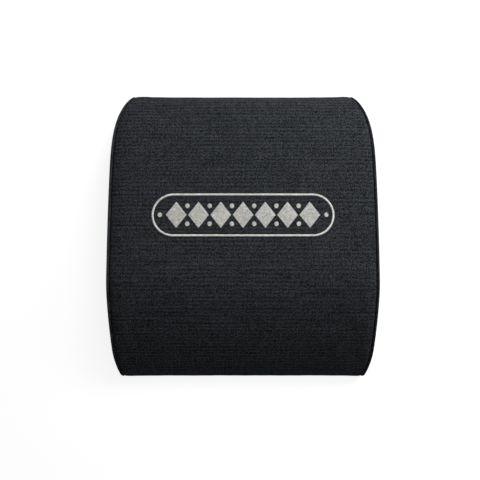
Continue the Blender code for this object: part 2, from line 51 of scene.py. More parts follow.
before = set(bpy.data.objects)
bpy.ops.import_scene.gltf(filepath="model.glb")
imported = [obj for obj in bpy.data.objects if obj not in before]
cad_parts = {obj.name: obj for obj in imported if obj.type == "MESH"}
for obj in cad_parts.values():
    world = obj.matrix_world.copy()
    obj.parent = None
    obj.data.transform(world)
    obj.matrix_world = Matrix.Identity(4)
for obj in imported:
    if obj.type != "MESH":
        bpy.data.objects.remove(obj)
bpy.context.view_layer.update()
tape_box = np.array(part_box("zip_tape_upper"))
tape_middle = tape_box.mean(axis=0)
tape_size = np.ptp(tape_box, axis=0)

# How far a tape runs on past the CAD tape's end, to the side seam
TAPE_OVERRUN = 0.0012

# Length of a panel's edge that is tucked into an end seam
END_TUCK = 0.0007

# Each finished band panel's way across, way along and points
panels = {}

# Each point's place, normal, spine point, way along the line and depth below the surface
Line = namedtuple("Line", "place out spine along depth")


def size(name, description, default):
    """A property for a length in metres."""
    return FloatProperty(name=name, description=description, default=default, unit="LENGTH", precision=5)


def part_of_one(name, description, default):
    """A property for a share, from 0 to 1."""
    return FloatProperty(name=name, description=description, default=default, min=0, max=1)


def paint(name, description, default):
    """A property for a linear colour."""
    return FloatVectorProperty(
        name=name, description=description, default=default, subtype="COLOR", size=3, min=0, max=1
    )


def power(name, description, default):
    """A property for a lamp's power in watts."""
    return FloatProperty(name=name, description=description, default=default, unit="POWER")


class AbMatShape(bpy.types.PropertyGroup):
    """The pad's size, side outline and plan outline."""

    pad_length: size("Length", "From the thin end to the thick end", 0.343)
    pad_width: size("Width", "Across the middle of the pad", 0.310)
    pad_height: size("Height", "At the peak of the hump", 0.066)
    thin_wall: size("Thin wall", "Height of the upright wall at the thin end", 0.010)
    thin_rise: size("Thin rise", "Reach of the curve's handle above the thin wall", 0.007)
    peak_place: size("Peak", "Distance of the peak from the thin end", 0.120)
    peak_thin: size("Peak, thin side", "Reach of the peak's handle toward the thin end", 0.044)
    peak_thick: size("Peak, thick side", "Reach of the peak's handle toward the thick end", 0.066)
    thick_wall: size("Thick wall", "Height of the upright wall at the thick end", 0.024)
    thick_round: size("Thick rounding", "Reach of the handle above the thick wall", 0.036)
    base_radius: size("Base rounding", "Radius of the rounding under both ends", 0.0025)
    thin_draw_in: size("Thin draw-in", "How far each side draws in at the thin end", 0.0052)
    thin_draw_length: size("Thin draw-in length", "Length over which it does", 0.039)
    thin_corner: size("Thin corner", "Rounding of the corners at the thin end", 0.0028)
    thick_draw_in: size("Thick draw-in", "How far each side draws in at the thick end", 0.020)
    thick_draw_length: size("Thick draw-in length", "Length over which it does", 0.114)
    crown_fall: size("Crown fall", "How far the top falls toward the side seams", 0.0025)
    crown_width: size("Crown fall width", "Width over which it falls", 0.018)
    crown_start: size("Crown fall start", "Height above which the top falls at the seams", 0.024)
    spine_inset: size("Spine inset", "Distance of the inner spine's ends from the pad's ends", 0.030)
    spine_height: part_of_one("Spine height", "Height of the spine as a share of the pad's there", 0.42)


class AbMatCover(bpy.types.PropertyGroup):
    """The fabric cover, its seams and its colours."""

    grid: size("Grid", "Distance between the points of a panel", 0.0024)
    fabric: size("Fabric", "Thickness of the cover fabric", 0.0006)
    lining: size("Lining", "Depth of the foam's surface below the cover's", 0.0016)
    seam_inset: size("Seam inset", "Distance of the side seams from the pad's sides", 0.0047)
    seam_gap: size("Seam gap", "Width of the line between two sewn panels", 0.0006)
    fold: size("Fold", "Radius of the top panel's edge where it turns into the seam", 0.0014)
    roll: size("Roll", "How far the top panel rolls down beside its seams", 0.0004)
    roll_width: size("Roll width", "Width of that roll", 0.006)
    allowance: size("Allowance", "Depth that the seam allowances reach", 0.006)
    shoulder: size("Shoulder", "Depth of the side panel's rolled shoulder", 0.0048)
    shoulder_sink: size("Shoulder sink", "Distance of the shoulder below the top's edge", 0.0002)
    side_bulge: size("Side bulge", "How far the side faces bulge", 0.0006)
    end_turn: size("End turn", "Radius of the panels' edges at the end seams", 0.0008)
    end_seam: size("End seam", "Height of the seams to the base panel", 0.003)
    hem_low: size("Lower hem", "Height of the hem below the zip", 0.0077)
    hem_high: size("Upper hem", "Height of the hem above the zip", 0.0183)
    hem_roll: size("Hem roll", "Radius of the folded hems", 0.00068)
    dot_height: size("Dot height", "Height of the base panel's rubber dots", 0.00035)
    dot_radius: size("Dot radius", "Radius of a rubber dot", 0.0013)
    dot_pitch: size("Dot pitch", "Distance between the rubber dots", 0.0095)
    yarn: size("Yarn", "Distance between the yarns of the canvas", 0.0009)
    canvas_colour: paint("Canvas", "Colour of the cover's yarns", (0.0205, 0.0220, 0.0250))
    base_colour: paint("Base fabric", "Colour of the base panel", (0.014, 0.0145, 0.015))
    dot_colour: paint("Dots", "Colour of the rubber dots", (0.022, 0.022, 0.023))
    foam_colour: paint("Foam", "Colour of the foam core", (0.16, 0.16, 0.17))


class AbMatCloth(bpy.types.PropertyGroup):
    """How the top panel settles between its seams."""

    coarse: size("Coarse grid", "Distance between the points of the settling cloth", 0.0045)
    pressure: FloatProperty(name="Pressure", description="Push of the foam on the cloth", default=2.5)
    slack: part_of_one("Slack", "Extra cloth between the pinned seams, as a share", 0.004)
    frames: IntProperty(name="Frames", description="Frames that the cloth settles for", default=20)
    most: size("Most", "How far the cloth may move from the pad's surface", 0.0007)
    pucker: size("Pucker", "Depth of the gathers along the seams", 0.00022)
    pucker_pitch: size("Pucker pitch", "Distance between the gathers", 0.0085)
    pucker_width: size("Pucker width", "How far from the seam the gathers reach", 0.004)
    ripple: size("Ripple", "Height of the faint unevenness of the stuffed cover", 0.0001)


class AbMatThread(bpy.types.PropertyGroup):
    """Sewing thread of the seams and hems, and the embroidered band."""

    thread: size("Thread", "Radius of the sewing thread", 0.00022)
    stitch: size("Stitch", "Distance between two stitches", 0.0030)
    stitch_gap: size("Stitch gap", "Distance between the ends of two stitches", 0.0007)
    hem_stitch: size("Hem stitch", "Distance of the stitches from a hem's edge", 0.0020)
    band_length: size("Band length", "Length of the embroidered band", 0.206)
    band_height: size("Band height", "Height of the embroidered band", 0.049)
    band_place: size("Band place", "Distance of the band's middle from the pad's, along Y", 0.0210)
    border: size("Border", "Width of the band's satin border", 0.0024)
    lozenges: IntProperty(name="Lozenges", description="Number of lozenges in the band", default=7)
    lozenge_length: size("Lozenge length", "Length of a lozenge", 0.0235)
    lozenge_height: size("Lozenge height", "Height of a lozenge", 0.0300)
    dot: size("Seed dot", "Radius of the dots between the lozenges", 0.0026)
    yarn: size("Embroidery yarn", "Radius of the embroidery thread", 0.00026)
    pile: size("Pile", "Height of the embroidery above the cloth", 0.0005)
    sewing_colour: paint("Sewing thread", "Colour of the sewing thread", (0.017, 0.018, 0.019))
    silver_colour: paint("Embroidery thread", "Colour of the embroidery", (0.68, 0.665, 0.63))


class AbMatZip(bpy.types.PropertyGroup):
    """The zip's tapes, teeth and metal."""

    height: size("Zip height", "Height of the zip's middle", 0.013)
    plane: size("Zip plane", "Distance of the tapes' middle from the pad's middle", float(tape_middle[1]))
    tape: size("Tape", "Thickness of the tapes", float(tape_size[1]))
    tape_half: size("Tape half", "Half the length of a tape", float(tape_size[0]) / 2 + TAPE_OVERRUN)
    lean_start: size("Lean start", "Where a tape begins to lean toward the other one", 0.1200)
    tape_lean: size("Tape lean", "How far a tape leans toward the other one at its ends", 0.0017)
    tape_edge: size("Tape edge", "Distance of a tape's inner edge from the zip's middle", 0.0022)
    tape_width: size("Tape width", "Width of a tape", 0.0072)
    bead: size("Bead", "Radius of the cord along the tape's inner edge", 0.00062)
    start: size("Chain start", "Place where the rows of teeth begin", -0.117416)
    teeth: IntProperty(name="Teeth", description="Teeth in a row", default=76)
    pitch: size("Pitch", "Distance between two teeth of a row", 0.0030)
    tooth_thickness: size("Tooth thickness", "Thickness of a tooth", 0.0022)
    tooth_edge: size("Tooth edge", "Rounding of a tooth's edges", 0.00026)
    tape_colour: paint("Tape", "Colour of the zip's tapes", (0.015, 0.016, 0.018))
    tooth_colour: paint("Teeth", "Colour of the teeth", (0.012, 0.012, 0.013))
    metal_colour: paint("Metal", "Colour of the slider, pull and stops", (0.020, 0.020, 0.022))


class AbMatStage(bpy.types.PropertyGroup):
    """The floor, the lights and the camera."""

    camera_place: FloatVectorProperty(
        name="Camera", description="Place of the camera", default=(-0.0034, -0.0353, 0.5577),
        subtype="TRANSLATION",
    )
    camera_tilt: FloatProperty(
        name="Tilt", description="Tilt of the camera toward the thick end", default=math.radians(3.24),
        unit="ROTATION", subtype="ANGLE",
    )
    lens: FloatProperty(name="Lens", description="Focal length in millimetres", default=33.0)
    floor: size("Floor", "Half the width of the floor", 3.0)
    floor_colour: paint("Floor", "Colour of the floor", (0.80, 0.80, 0.80))
    seen_floor: paint("Seen floor", "Colour that the floor's shadows show in the picture", (0.22, 0.22, 0.22))
    floor_glow: part_of_one("Floor glow", "Light that the floor gives off in the picture", 0.87)
    key_power: power("Key", "Power of the main light", 10.5)
    top_power: power("Top", "Power of the light above", 0.95)
    side_power: power("Side", "Power of the light from the right", 7.5)
    rim_power: power("Rim", "Power of the low light behind", 3.0)
    fill: part_of_one("Fill", "Light from all round", 0.05)


def shape():
    """The pad's sizes."""
    return bpy.context.scene.ab_mat_shape


def cover():
    """The cover's sizes and colours."""
    return bpy.context.scene.ab_mat_cover


def thread():
    """The sizes and colours of the sewing thread and the embroidery."""
    return bpy.context.scene.ab_mat_thread


def zipper():
    """The zip's sizes and colours."""
    return bpy.context.scene.ab_mat_zip


# The pad's outline


def smooth(value):
    """3v^2 - 2v^3 of a value held between 0 and 1: an ease with level ends."""
    value = np.clip(value, 0, 1)
    return value * value * (3 - 2 * value)


def cubic(start, start_handle, end_handle, end, count=400):
    """Points of a cubic curve: its four points weighted (1-t)^3, 3t(1-t)^2, 3t^2(1-t), t^3."""
    t = np.linspace(0, 1, count)[:, None]
    s = 1 - t
    ends = s**3 * np.array(start) + t**3 * np.array(end)
    return ends + 3 * s * s * t * np.array(start_handle) + 3 * s * t * t * np.array(end_handle)


def quarter(centre, radius, start, count=9):
    """A quarter circle, clockwise from an angle: centre + radius * (cos a, sin a)."""
    angle = start - np.linspace(0, math.pi / 2, count)
    return np.array(centre) + radius * np.stack([np.cos(angle), np.sin(angle)], axis=1)


def joined(*runs):
    """Runs of points end to end, each without its first point, which the run before it has."""
    return np.concatenate([np.array(runs[0], float)] + [np.array(run, float)[1:] for run in runs[1:]])


def steps(end, count):
    """Even steps from 0 to an end, without the 0."""
    return np.linspace(0, end, count + 1)[1:]


def mirrored(half, sign=1):
    """Values from the middle outward, with their mirror image before them, times a sign."""
    return np.concatenate([sign * half[:0:-1], half])


def stepped(points, step):
    """A line's points again, spaced evenly along it and about a step apart."""
    along = np.concatenate(([0], np.cumsum(np.linalg.norm(np.diff(points, axis=0), axis=1))))
    at = np.linspace(0, along[-1], max(2, round(along[-1] / step) + 1))
    return np.stack([np.interp(at, along, points[:, k]) for k in range(points.shape[1])], axis=1)


def seam_line():
    """Distance of the side seams from the pad's middle, before the ends draw in."""
    return shape().pad_width / 2 - cover().seam_inset


def narrowing(y):
    """What is left of the width at y: 1 - (thin * a^2 + thick * b^4 + corner) / seam line.

    a and b rise from 0 to 1 over each end's draw-in length. The corner at the thin end
    is a quarter circle: radius * (1 - sqrt(1 - d^2)), with d from 0 to 1 over its radius.
    """
    s = shape()
    half = s.pad_length / 2
    thin = np.maximum(0, (s.thin_draw_length - half - y) / s.thin_draw_length)
    thick = np.maximum(0, (y - half + s.thick_draw_length) / s.thick_draw_length)
    near_end = np.clip(1 - (y + half) / s.thin_corner, 0, 1)
    corner = s.thin_corner * (1 - np.sqrt(1 - near_end**2))
    return 1 - (s.thin_draw_in * thin**2 + s.thick_draw_in * thick**4 + corner) / seam_line()


def over_hump(low, high, step):
    """The top's outline, from a height at the thin end, over two cubic curves, to the thick end."""
    s = shape()
    half = s.pad_length / 2
    peak = s.peak_place - half
    rise = cubic(
        (-half, s.thin_wall), (-half, s.thin_wall + s.thin_rise),
        (peak - s.peak_thin, s.pad_height), (peak, s.pad_height),
    )
    fall = cubic(
        (peak, s.pad_height), (peak + s.peak_thick, s.pad_height),
        (half, s.thick_wall + s.thick_round), (half, s.thick_wall),
    )
    walls = [(-half, low), (-half, s.thin_wall)], [(half, s.thick_wall), (half, high)]
    return stepped(joined(walls[0], rise, fall, walls[1]), step)


def under_pad(flat, low, high):
    """The base's outline: a height at the thick end, a rounding, places under the pad, and back up."""
    s = shape()
    half = s.pad_length / 2
    thick = quarter((half - s.base_radius, s.base_radius), s.base_radius, 0)
    thin = quarter((s.base_radius - half, s.base_radius), s.base_radius, -math.pi / 2)
    level = np.stack([flat, np.zeros_like(flat)], axis=1)
    return np.concatenate([[(half, high)], thick, level, thin, [(-half, low)]])


def spine_places(step):
    """The line inside the pad that the side faces close on, from its top outline."""
    s = shape()
    top = over_hump(cover().end_seam, cover().end_seam, step)
    middle = top[np.abs(top[:, 0]) < s.pad_length / 2 - s.spine_inset]
    return middle * (1, s.spine_height)


def as_line(places, depth=0, closed=False, step=0.0025):
    """Places with their outward normals, the spine points beside them and the way along.

    A normal is the line's direction from the place before to the place after, turned left.
    """
    ends = (places[-1:], places[:1]) if closed else (places[:1], places[-1:])
    way = np.concatenate([places[1:], ends[1]]) - np.concatenate([ends[0], places[:-1]])
    way /= np.linalg.norm(way, axis=1)[:, None]
    out = np.stack([-way[:, 1], way[:, 0]], axis=1)
    spine = spine_places(step)
    spine = spine[np.abs(places[:, :1] - spine[:, 0]).argmin(axis=1)]
    along = np.concatenate(([0], np.cumsum(np.linalg.norm(np.diff(places, axis=0), axis=1))))
    return Line(places, out, spine, along, np.full(len(places), float(depth)))


def backwards(line):
    """The same line from its other end."""
    return Line(*(values[::-1] for values in line))


def turned_in(line, radius, angle, run):
    """The line with its end turned in: round a circle by an angle, then straight on for a run.

    At an angle a the end is radius * sin a onward and radius * (1 - cos a) inward.
    """
    turn = steps(angle, 7)
    straight = steps(run, 2)
    way = line.place[-1] - line.place[-2]
    way /= np.linalg.norm(way)
    turned_on = radius * math.sin(angle)
    turned_in_by = radius * (1 - math.cos(angle))
    onward = np.concatenate([radius * np.sin(turn), turned_on + math.cos(angle) * straight])
    inward = np.concatenate([radius * (1 - np.cos(turn)), turned_in_by + math.sin(angle) * straight])
    walked = np.concatenate([radius * turn, radius * angle + straight])
    count = len(onward)
    return Line(
        np.concatenate([line.place, line.place[-1] + way * onward[:, None]]),
        np.concatenate([line.out, np.repeat(line.out[-1:], count, axis=0)]),
        np.concatenate([line.spine, np.repeat(line.spine[-1:], count, axis=0)]),
        np.concatenate([line.along, line.along[-1] + np.sign(line.along[-1] - line.along[-2]) * walked]),
        np.concatenate([line.depth, line.depth[-1] + inward]),
    )


def skin(line, across, inset=0, toward=0, relief=0):
    """Points of a panel, stations by columns.

    A station moves in along its normal by its depth and the crown's fall, and out by its
    relief. It then moves toward the spine until it is the inset inside the outline, and
    by the share toward of what is left. Last, x is multiplied by what is left of the
    width at its y.
    """
    s = shape()
    as_rows = (np.atleast_1d(values).astype(float) for values in (across, inset, toward))
    across, inset, toward = np.broadcast_arrays(*as_rows)
    place = line.place[:, None]
    out = line.out[:, None]
    spine = line.spine[:, None]
    past = np.maximum(0, np.minimum(np.abs(across), seam_line()) - seam_line() + s.crown_width)
    height = smooth((line.place[:, 1:] - s.crown_start) / (s.pad_height - s.crown_start))
    fall = s.crown_fall * height * (past / s.crown_width) ** 2
    moved = place - out * (fall + line.depth[:, None] - relief)[..., None]
    span = np.einsum("rck,rck->rc", moved - spine, np.broadcast_to(out, moved.shape))
    part = np.maximum(0, inset - line.depth[:, None]) / span
    part = part + (1 - part) * toward
    moved = moved + (spine - moved) * part[..., None]
    x = across * narrowing(moved[..., 0])
    return np.stack([x, moved[..., 0], moved[..., 1]], axis=-1)


# Meshes


def new_mesh(name, points, faces, cloth_map=None):
    """A mesh from its points and arrays of faces, with a UV map in metres if one is given."""
    corners = np.concatenate([face.reshape(-1) for face in faces]).astype(np.int32)
    counts = np.concatenate([np.full(face.size // face.shape[-1], face.shape[-1]) for face in faces])
    mesh = bpy.data.meshes.new(name)
    mesh.vertices.add(len(points))
    mesh.vertices.foreach_set("co", np.asarray(points, np.float32).ravel())
    mesh.loops.add(len(corners))
    mesh.loops.foreach_set("vertex_index", corners)
    mesh.polygons.add(len(counts))
    mesh.polygons.foreach_set("loop_start", (np.cumsum(counts) - counts).astype(np.int32))
    mesh.update(calc_edges=True)
    if cloth_map is not None:
        layer = mesh.uv_layers.new(name="cloth")
        layer.uv.foreach_set("vector", np.asarray(cloth_map, np.float32)[corners].ravel())
    mesh.shade_smooth()
    return mesh


def grid_faces(rows, columns):
    """Four-sided faces of a grid whose points run along its rows."""
    index = np.arange(rows * columns).reshape(rows, columns)
    return np.stack([index[:-1, :-1], index[:-1, 1:], index[1:, 1:], index[1:, :-1]], axis=-1)


def closed_faces(rows, columns):
    """The faces of a grid whose last row is followed by its first."""
    return grid_faces(rows + 1, columns) % (rows * columns)


def new_piece(name, mesh, body, finish, slot, *nodes):
    """An object that rides on a body, with its finish, in place of CAD nodes."""
    piece = bpy.data.objects.new(name, mesh)
    bpy.context.scene.collection.objects.link(piece)
    mesh.materials.append(finish)
    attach(piece, body)
    if nodes:
        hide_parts(*nodes)
    return piece


def worked_over(mesh, work):
    """The mesh after a piece of bmesh work on it."""
    bm = bmesh.new()
    bm.from_mesh(mesh)
    work(bm)
    bm.to_mesh(mesh)
    bm.free()
    return mesh


def merged(mesh, closer=0.00001):
    """The mesh with its doubled points made one and the faces that lose their area removed."""
    return worked_over(mesh, lambda bm: bmesh.ops.remove_doubles(bm, verts=bm.verts, dist=closer))


def thickened(piece, thickness):
    """Gives a panel its fabric's thickness on its inner side."""
    solid = piece.modifiers.new("Fabric", "SOLIDIFY")
    solid.thickness = thickness
    solid.offset = -1
    solid.use_quality_normals = True


# The panels


def band_columns(step):
    """Across, inset and way across of a band panel: flat, round a quarter circle, and straight in.

    Round the fold, across = edge - fold * (1 - sin a) and inset = fold * (1 - cos a).
    """
    c = cover()
    edge = seam_line() - c.seam_gap / 2
    flat = np.linspace(0, edge - c.fold, round((edge - c.fold) / step) + 1)
    turn = steps(math.pi / 2, 6)
    straight = steps(c.allowance - c.fold, 3)
    folded = flat[-1] + c.fold * math.pi / 2
    across = np.concatenate([flat, edge - c.fold * (1 - np.sin(turn)), np.full(len(straight), edge)])
    inset = np.concatenate([0 * flat, c.fold * (1 - np.cos(turn)), c.fold + straight])
    walked = np.concatenate([flat, flat[-1] + c.fold * turn, folded + straight])
    return mirrored(across, -1), mirrored(inset), mirrored(walked, -1)


def hat_weights(old, new):
    """A matrix that carries values at the old places to the new ones, straight between two."""
    return np.stack([np.interp(new, old, one) for one in np.eye(len(old))], axis=1)


def settled(line, across, fine_line, fine_across):
    """How far the cloth has moved out along the normal once it has settled, on the fine grid.

    The coarse grid is pinned at its edges, has a little slack and is pushed out by a
    pressure. Its move d is held softly to most * tanh(d / most).
    """
    cloth_settings = bpy.context.scene.ab_mat_cloth
    scene = bpy.context.scene
    places = skin(line, across)
    rows, columns = places.shape[:2]
    mesh = new_mesh("settling_cloth", places.reshape(-1, 3), [grid_faces(rows, columns)])
    cloth = bpy.data.objects.new("settling_cloth", mesh)
    scene.collection.objects.link(cloth)
    held = np.zeros((rows, columns), bool)
    held[[0, -1]] = held[:, [0, -1]] = True
    pins = cloth.vertex_groups.new(name="held")
    pins.add(np.flatnonzero(held).tolist(), 1, "REPLACE")
    cloth.modifiers.new("Settling", "CLOTH")
    settings = cloth.modifiers["Settling"].settings
    settings.vertex_group_mass = "held"
    settings.quality = 6
    settings.mass = 0.3
    settings.tension_stiffness = 30
    settings.compression_stiffness = 30
    settings.bending_stiffness = 0.4
    settings.use_pressure = True
    settings.uniform_pressure_force = cloth_settings.pressure
    settings.shrink_min = -cloth_settings.slack
    settings.effector_weights.gravity = 0
    cloth.modifiers["Settling"].collision_settings.use_collision = False
    for number in range(1, cloth_settings.frames + 1):
        scene.frame_set(number)
    shown = cloth.evaluated_get(bpy.context.evaluated_depsgraph_get()).data
    after = np.empty(rows * columns * 3, np.float32)
    shown.vertices.foreach_get("co", after)
    bpy.data.objects.remove(cloth)
    scene.frame_set(1)
    move = (after.reshape(places.shape) - places)[..., 1:]
    move = np.einsum("rck,rk->rc", move, line.out)
    move = cloth_settings.most * np.tanh(move / cloth_settings.most)
    return hat_weights(line.along, fine_line.along) @ move @ hat_weights(across, fine_across).T


def softened(field):
    """A field with each value made 1/4, 1/2 and 1/4 of its neighbours' and its own, both ways."""
    for _ in range(2):
        padded = np.pad(field, ((1, 1), (0, 0)), mode="edge")
        field = ((padded[:-2] + 2 * padded[1:-1] + padded[2:]) / 4).T
    return field


def gathers(along, from_seam):
    """The small gathers beside a seam: -depth * e^(-d / width) * (1/2 + 1/2 sin(swing)).

    The swing is 2 pi way / pitch, and a slower sine wave moves it on and back.
    """
    settings = bpy.context.scene.ab_mat_cloth
    drift, drift_pitch = 1.7, 0.043
    swing = 2 * math.pi * along / settings.pucker_pitch + drift * np.sin(2 * math.pi * along / drift_pitch)
    return -settings.pucker * np.exp(-from_seam / settings.pucker_width) * (0.5 + 0.5 * np.sin(swing))


def unevenness(along, across):
    """The stuffed cover's faint unevenness: a sum of twelve sine waves of seeded directions."""
    wave = np.random.default_rng(11)
    shortest, longest = 0.018, 0.060
    total = 0
    for _ in range(12):
        pitch = wave.uniform(shortest, longest)
        turn = wave.uniform(0, math.pi)
        start = wave.uniform(0, 2 * math.pi)
        way = along * math.sin(turn) + across * math.cos(turn)
        total = total + np.sin(2 * math.pi * way / pitch + start)
    return bpy.context.scene.ab_mat_cloth.ripple * total / 4


def top_line(step):
    """The top panel's line, its thin end turned into the seam and its thick end hemmed."""
    c = cover()
    hem_depth = 0.0055
    line = as_line(over_hump(c.end_seam + c.seam_gap / 2 + c.end_turn, c.hem_high + c.hem_roll, step))
    line = turned_in(line, c.hem_roll, math.pi, hem_depth)
    return backwards(turned_in(backwards(line), c.end_turn, math.pi / 2, END_TUCK))


def cloth_piece(name, line, columns, relief, finish, slot, node):
    """A band panel: its points, its map of the way across and along, its thickness and its cut.

    The flat cut is the way across by the way along.
    """
    across, inset, walked = columns
    points = skin(line, across, inset, 0, relief)
    rows, count = points.shape[:2]
    cloth_map = np.stack(np.broadcast_arrays(walked[None], line.along[:, None]), axis=-1).reshape(-1, 2)
    mesh = new_mesh(name, points.reshape(-1, 3), [grid_faces(rows, count)], cloth_map)
    piece = new_piece(name, mesh, "mat", finish, slot, node)
    panels[name] = walked, line.along, points
    thickened(piece, cover().fabric)
    return piece


class ABMAT_OT_top_panel(bpy.types.Operator):
    """Make the top panel of the cover, settled between its seams"""

    bl_idname = "ab_mat.top_panel"
    bl_label = "Top Panel"

    def execute(self, context):
        c = cover()
        coarse_step = context.scene.ab_mat_cloth.coarse
        line = top_line(c.grid)
        columns = band_columns(c.grid)
        across = columns[0]
        edge = seam_line() - c.seam_gap / 2
        from_seam = np.maximum(0, edge - np.abs(across))
        roll = c.roll * np.maximum(0, 1 - from_seam / c.roll_width) ** 2
        relief = gathers(line.along[:, None], from_seam) - roll + unevenness(line.along[:, None], across)
        level = line.along[line.depth == 0]
        from_ends = np.minimum(line.along - level[0], level[-1] - line.along)
        relief = relief * smooth(from_ends / c.roll_width)[:, None]
        coarse = as_line(over_hump(c.end_seam + c.seam_gap / 2, c.hem_high, coarse_step))
        apart = np.linspace(-edge, edge, round(2 * edge / coarse_step) + 1)
        shift = line._replace(along=line.along - level[0])
        relief = relief + softened(softened(settled(coarse, apart, shift, across)))
        cloth_piece("top_cover", line, columns, relief, canvas_finish(), "woven_cover", "top_panel")
        return {"FINISHED"}


class ABMAT_OT_zip_facing(bpy.types.Operator):
    """Make the strip of cover between the zip and the base"""

    bl_idname = "ab_mat.zip_facing"
    bl_label = "Zip Facing Strip"

    def execute(self, context):
        c = cover()
        half = shape().pad_length / 2
        step, hem_depth = 0.0008, 0.0032
        ends = np.array([(half, c.hem_low - c.hem_roll), (half, c.end_seam + c.seam_gap / 2 + c.end_turn)])
        line = turned_in(as_line(stepped(ends, step)), c.end_turn, math.pi / 2, END_TUCK)
        line = backwards(turned_in(backwards(line), c.hem_roll, math.pi, hem_depth))
        columns = band_columns(c.grid)
        cloth_piece("zip_facing", line, columns, 0, canvas_finish(), "woven_cover", "zip_facing_strip")
        return {"FINISHED"}


class ABMAT_OT_base_panel(bpy.types.Operator):
    """Make the base panel and its rubber dots"""

    bl_idname = "ab_mat.base_panel"
    bl_label = "Base Panel"

    def execute(self, context):
        c = cover()
        s = shape()
        radius = c.end_turn / 4
        tuck, coarser = 0.0008, 1.4
        foot = c.end_seam - c.seam_gap / 2 - radius
        half = s.pad_length / 2 - s.base_radius
        flat = np.linspace(half, -half, round(2 * half / c.grid) + 1)[1:-1]
        line = turned_in(as_line(under_pad(flat, foot, foot), c.dot_height), radius, math.pi / 2, tuck)
        line = backwards(turned_in(backwards(line), radius, math.pi / 2, tuck))
        columns = band_columns(c.grid * coarser)
        piece = cloth_piece("base_cover", line, columns, 0, base_finish(), "non_slip_base", "base_panel")
        dots = new_piece("base_dots", self.dots(), "mat", rubber_finish(), "non_slip_base")
        dots.parent = piece
        return {"FINISHED"}

    def dots(self):
        """Domes in staggered rows: each point at radius * cos b round its middle, height * sin b down.

        A dome takes 0.96 of the room between the panel and the floor.
        """
        c = cover()
        end_room, side_room, room_share = 0.009, 0.006, 0.96
        long = shape().pad_length / 2 - end_room
        wide = seam_line() - side_room
        row = c.dot_pitch * math.sqrt(3) / 2
        y = np.arange(-math.floor(long / row), math.floor(long / row) + 1)
        x = np.arange(-math.floor(wide / c.dot_pitch) - 1, math.floor(wide / c.dot_pitch) + 1)
        y, x = np.meshgrid(y, x, indexing="ij")
        x = (x + 0.5 * (y % 2)) * c.dot_pitch
        y = y * row
        kept = np.abs(x) < wide * narrowing(y) - c.dot_radius
        centre = np.stack([x[kept], y[kept], np.full(kept.sum(), c.dot_height)], axis=1)
        around = np.linspace(0, 2 * math.pi, 10, endpoint=False)
        rise = np.linspace(0, math.pi / 2, 4)[:-1, None]
        ring = np.stack(np.broadcast_arrays(
            c.dot_radius * np.cos(rise) * np.cos(around),
            c.dot_radius * np.cos(rise) * np.sin(around),
            -c.dot_height * np.sin(rise) * room_share,
        ), axis=-1)
        tips = centre - (0, 0, room_share * c.dot_height)
        return tube_mesh("base_dots", centre[:, None, None] + ring, tips)


def tube_mesh(name, rings, tips=None):
    """Closed tubes from rings of points (piece, ring, point): sides, a lid, and a lid or a tip."""
    count, long, around = rings.shape[:3]
    index = np.arange(count * long * around).reshape(count, long, around)
    after = np.roll(index, -1, axis=2)
    sides = np.stack([index[:, :-1], after[:, :-1], after[:, 1:], index[:, 1:]], axis=-1).reshape(-1, 4)
    faces = [sides, index[:, 0, ::-1]]
    points = rings.reshape(-1, 3)
    if tips is None:
        faces.append(index[:, -1])
    else:
        tip = np.repeat((len(points) + np.arange(count))[:, None], around, axis=1)
        faces.append(np.stack([index[:, -1], after[:, -1], tip], axis=-1).reshape(-1, 3))
        points = np.concatenate([points, tips])
    mesh = new_mesh(name, points, faces)
    return worked_over(mesh, lambda bm: bmesh.ops.recalc_face_normals(bm, faces=bm.faces))


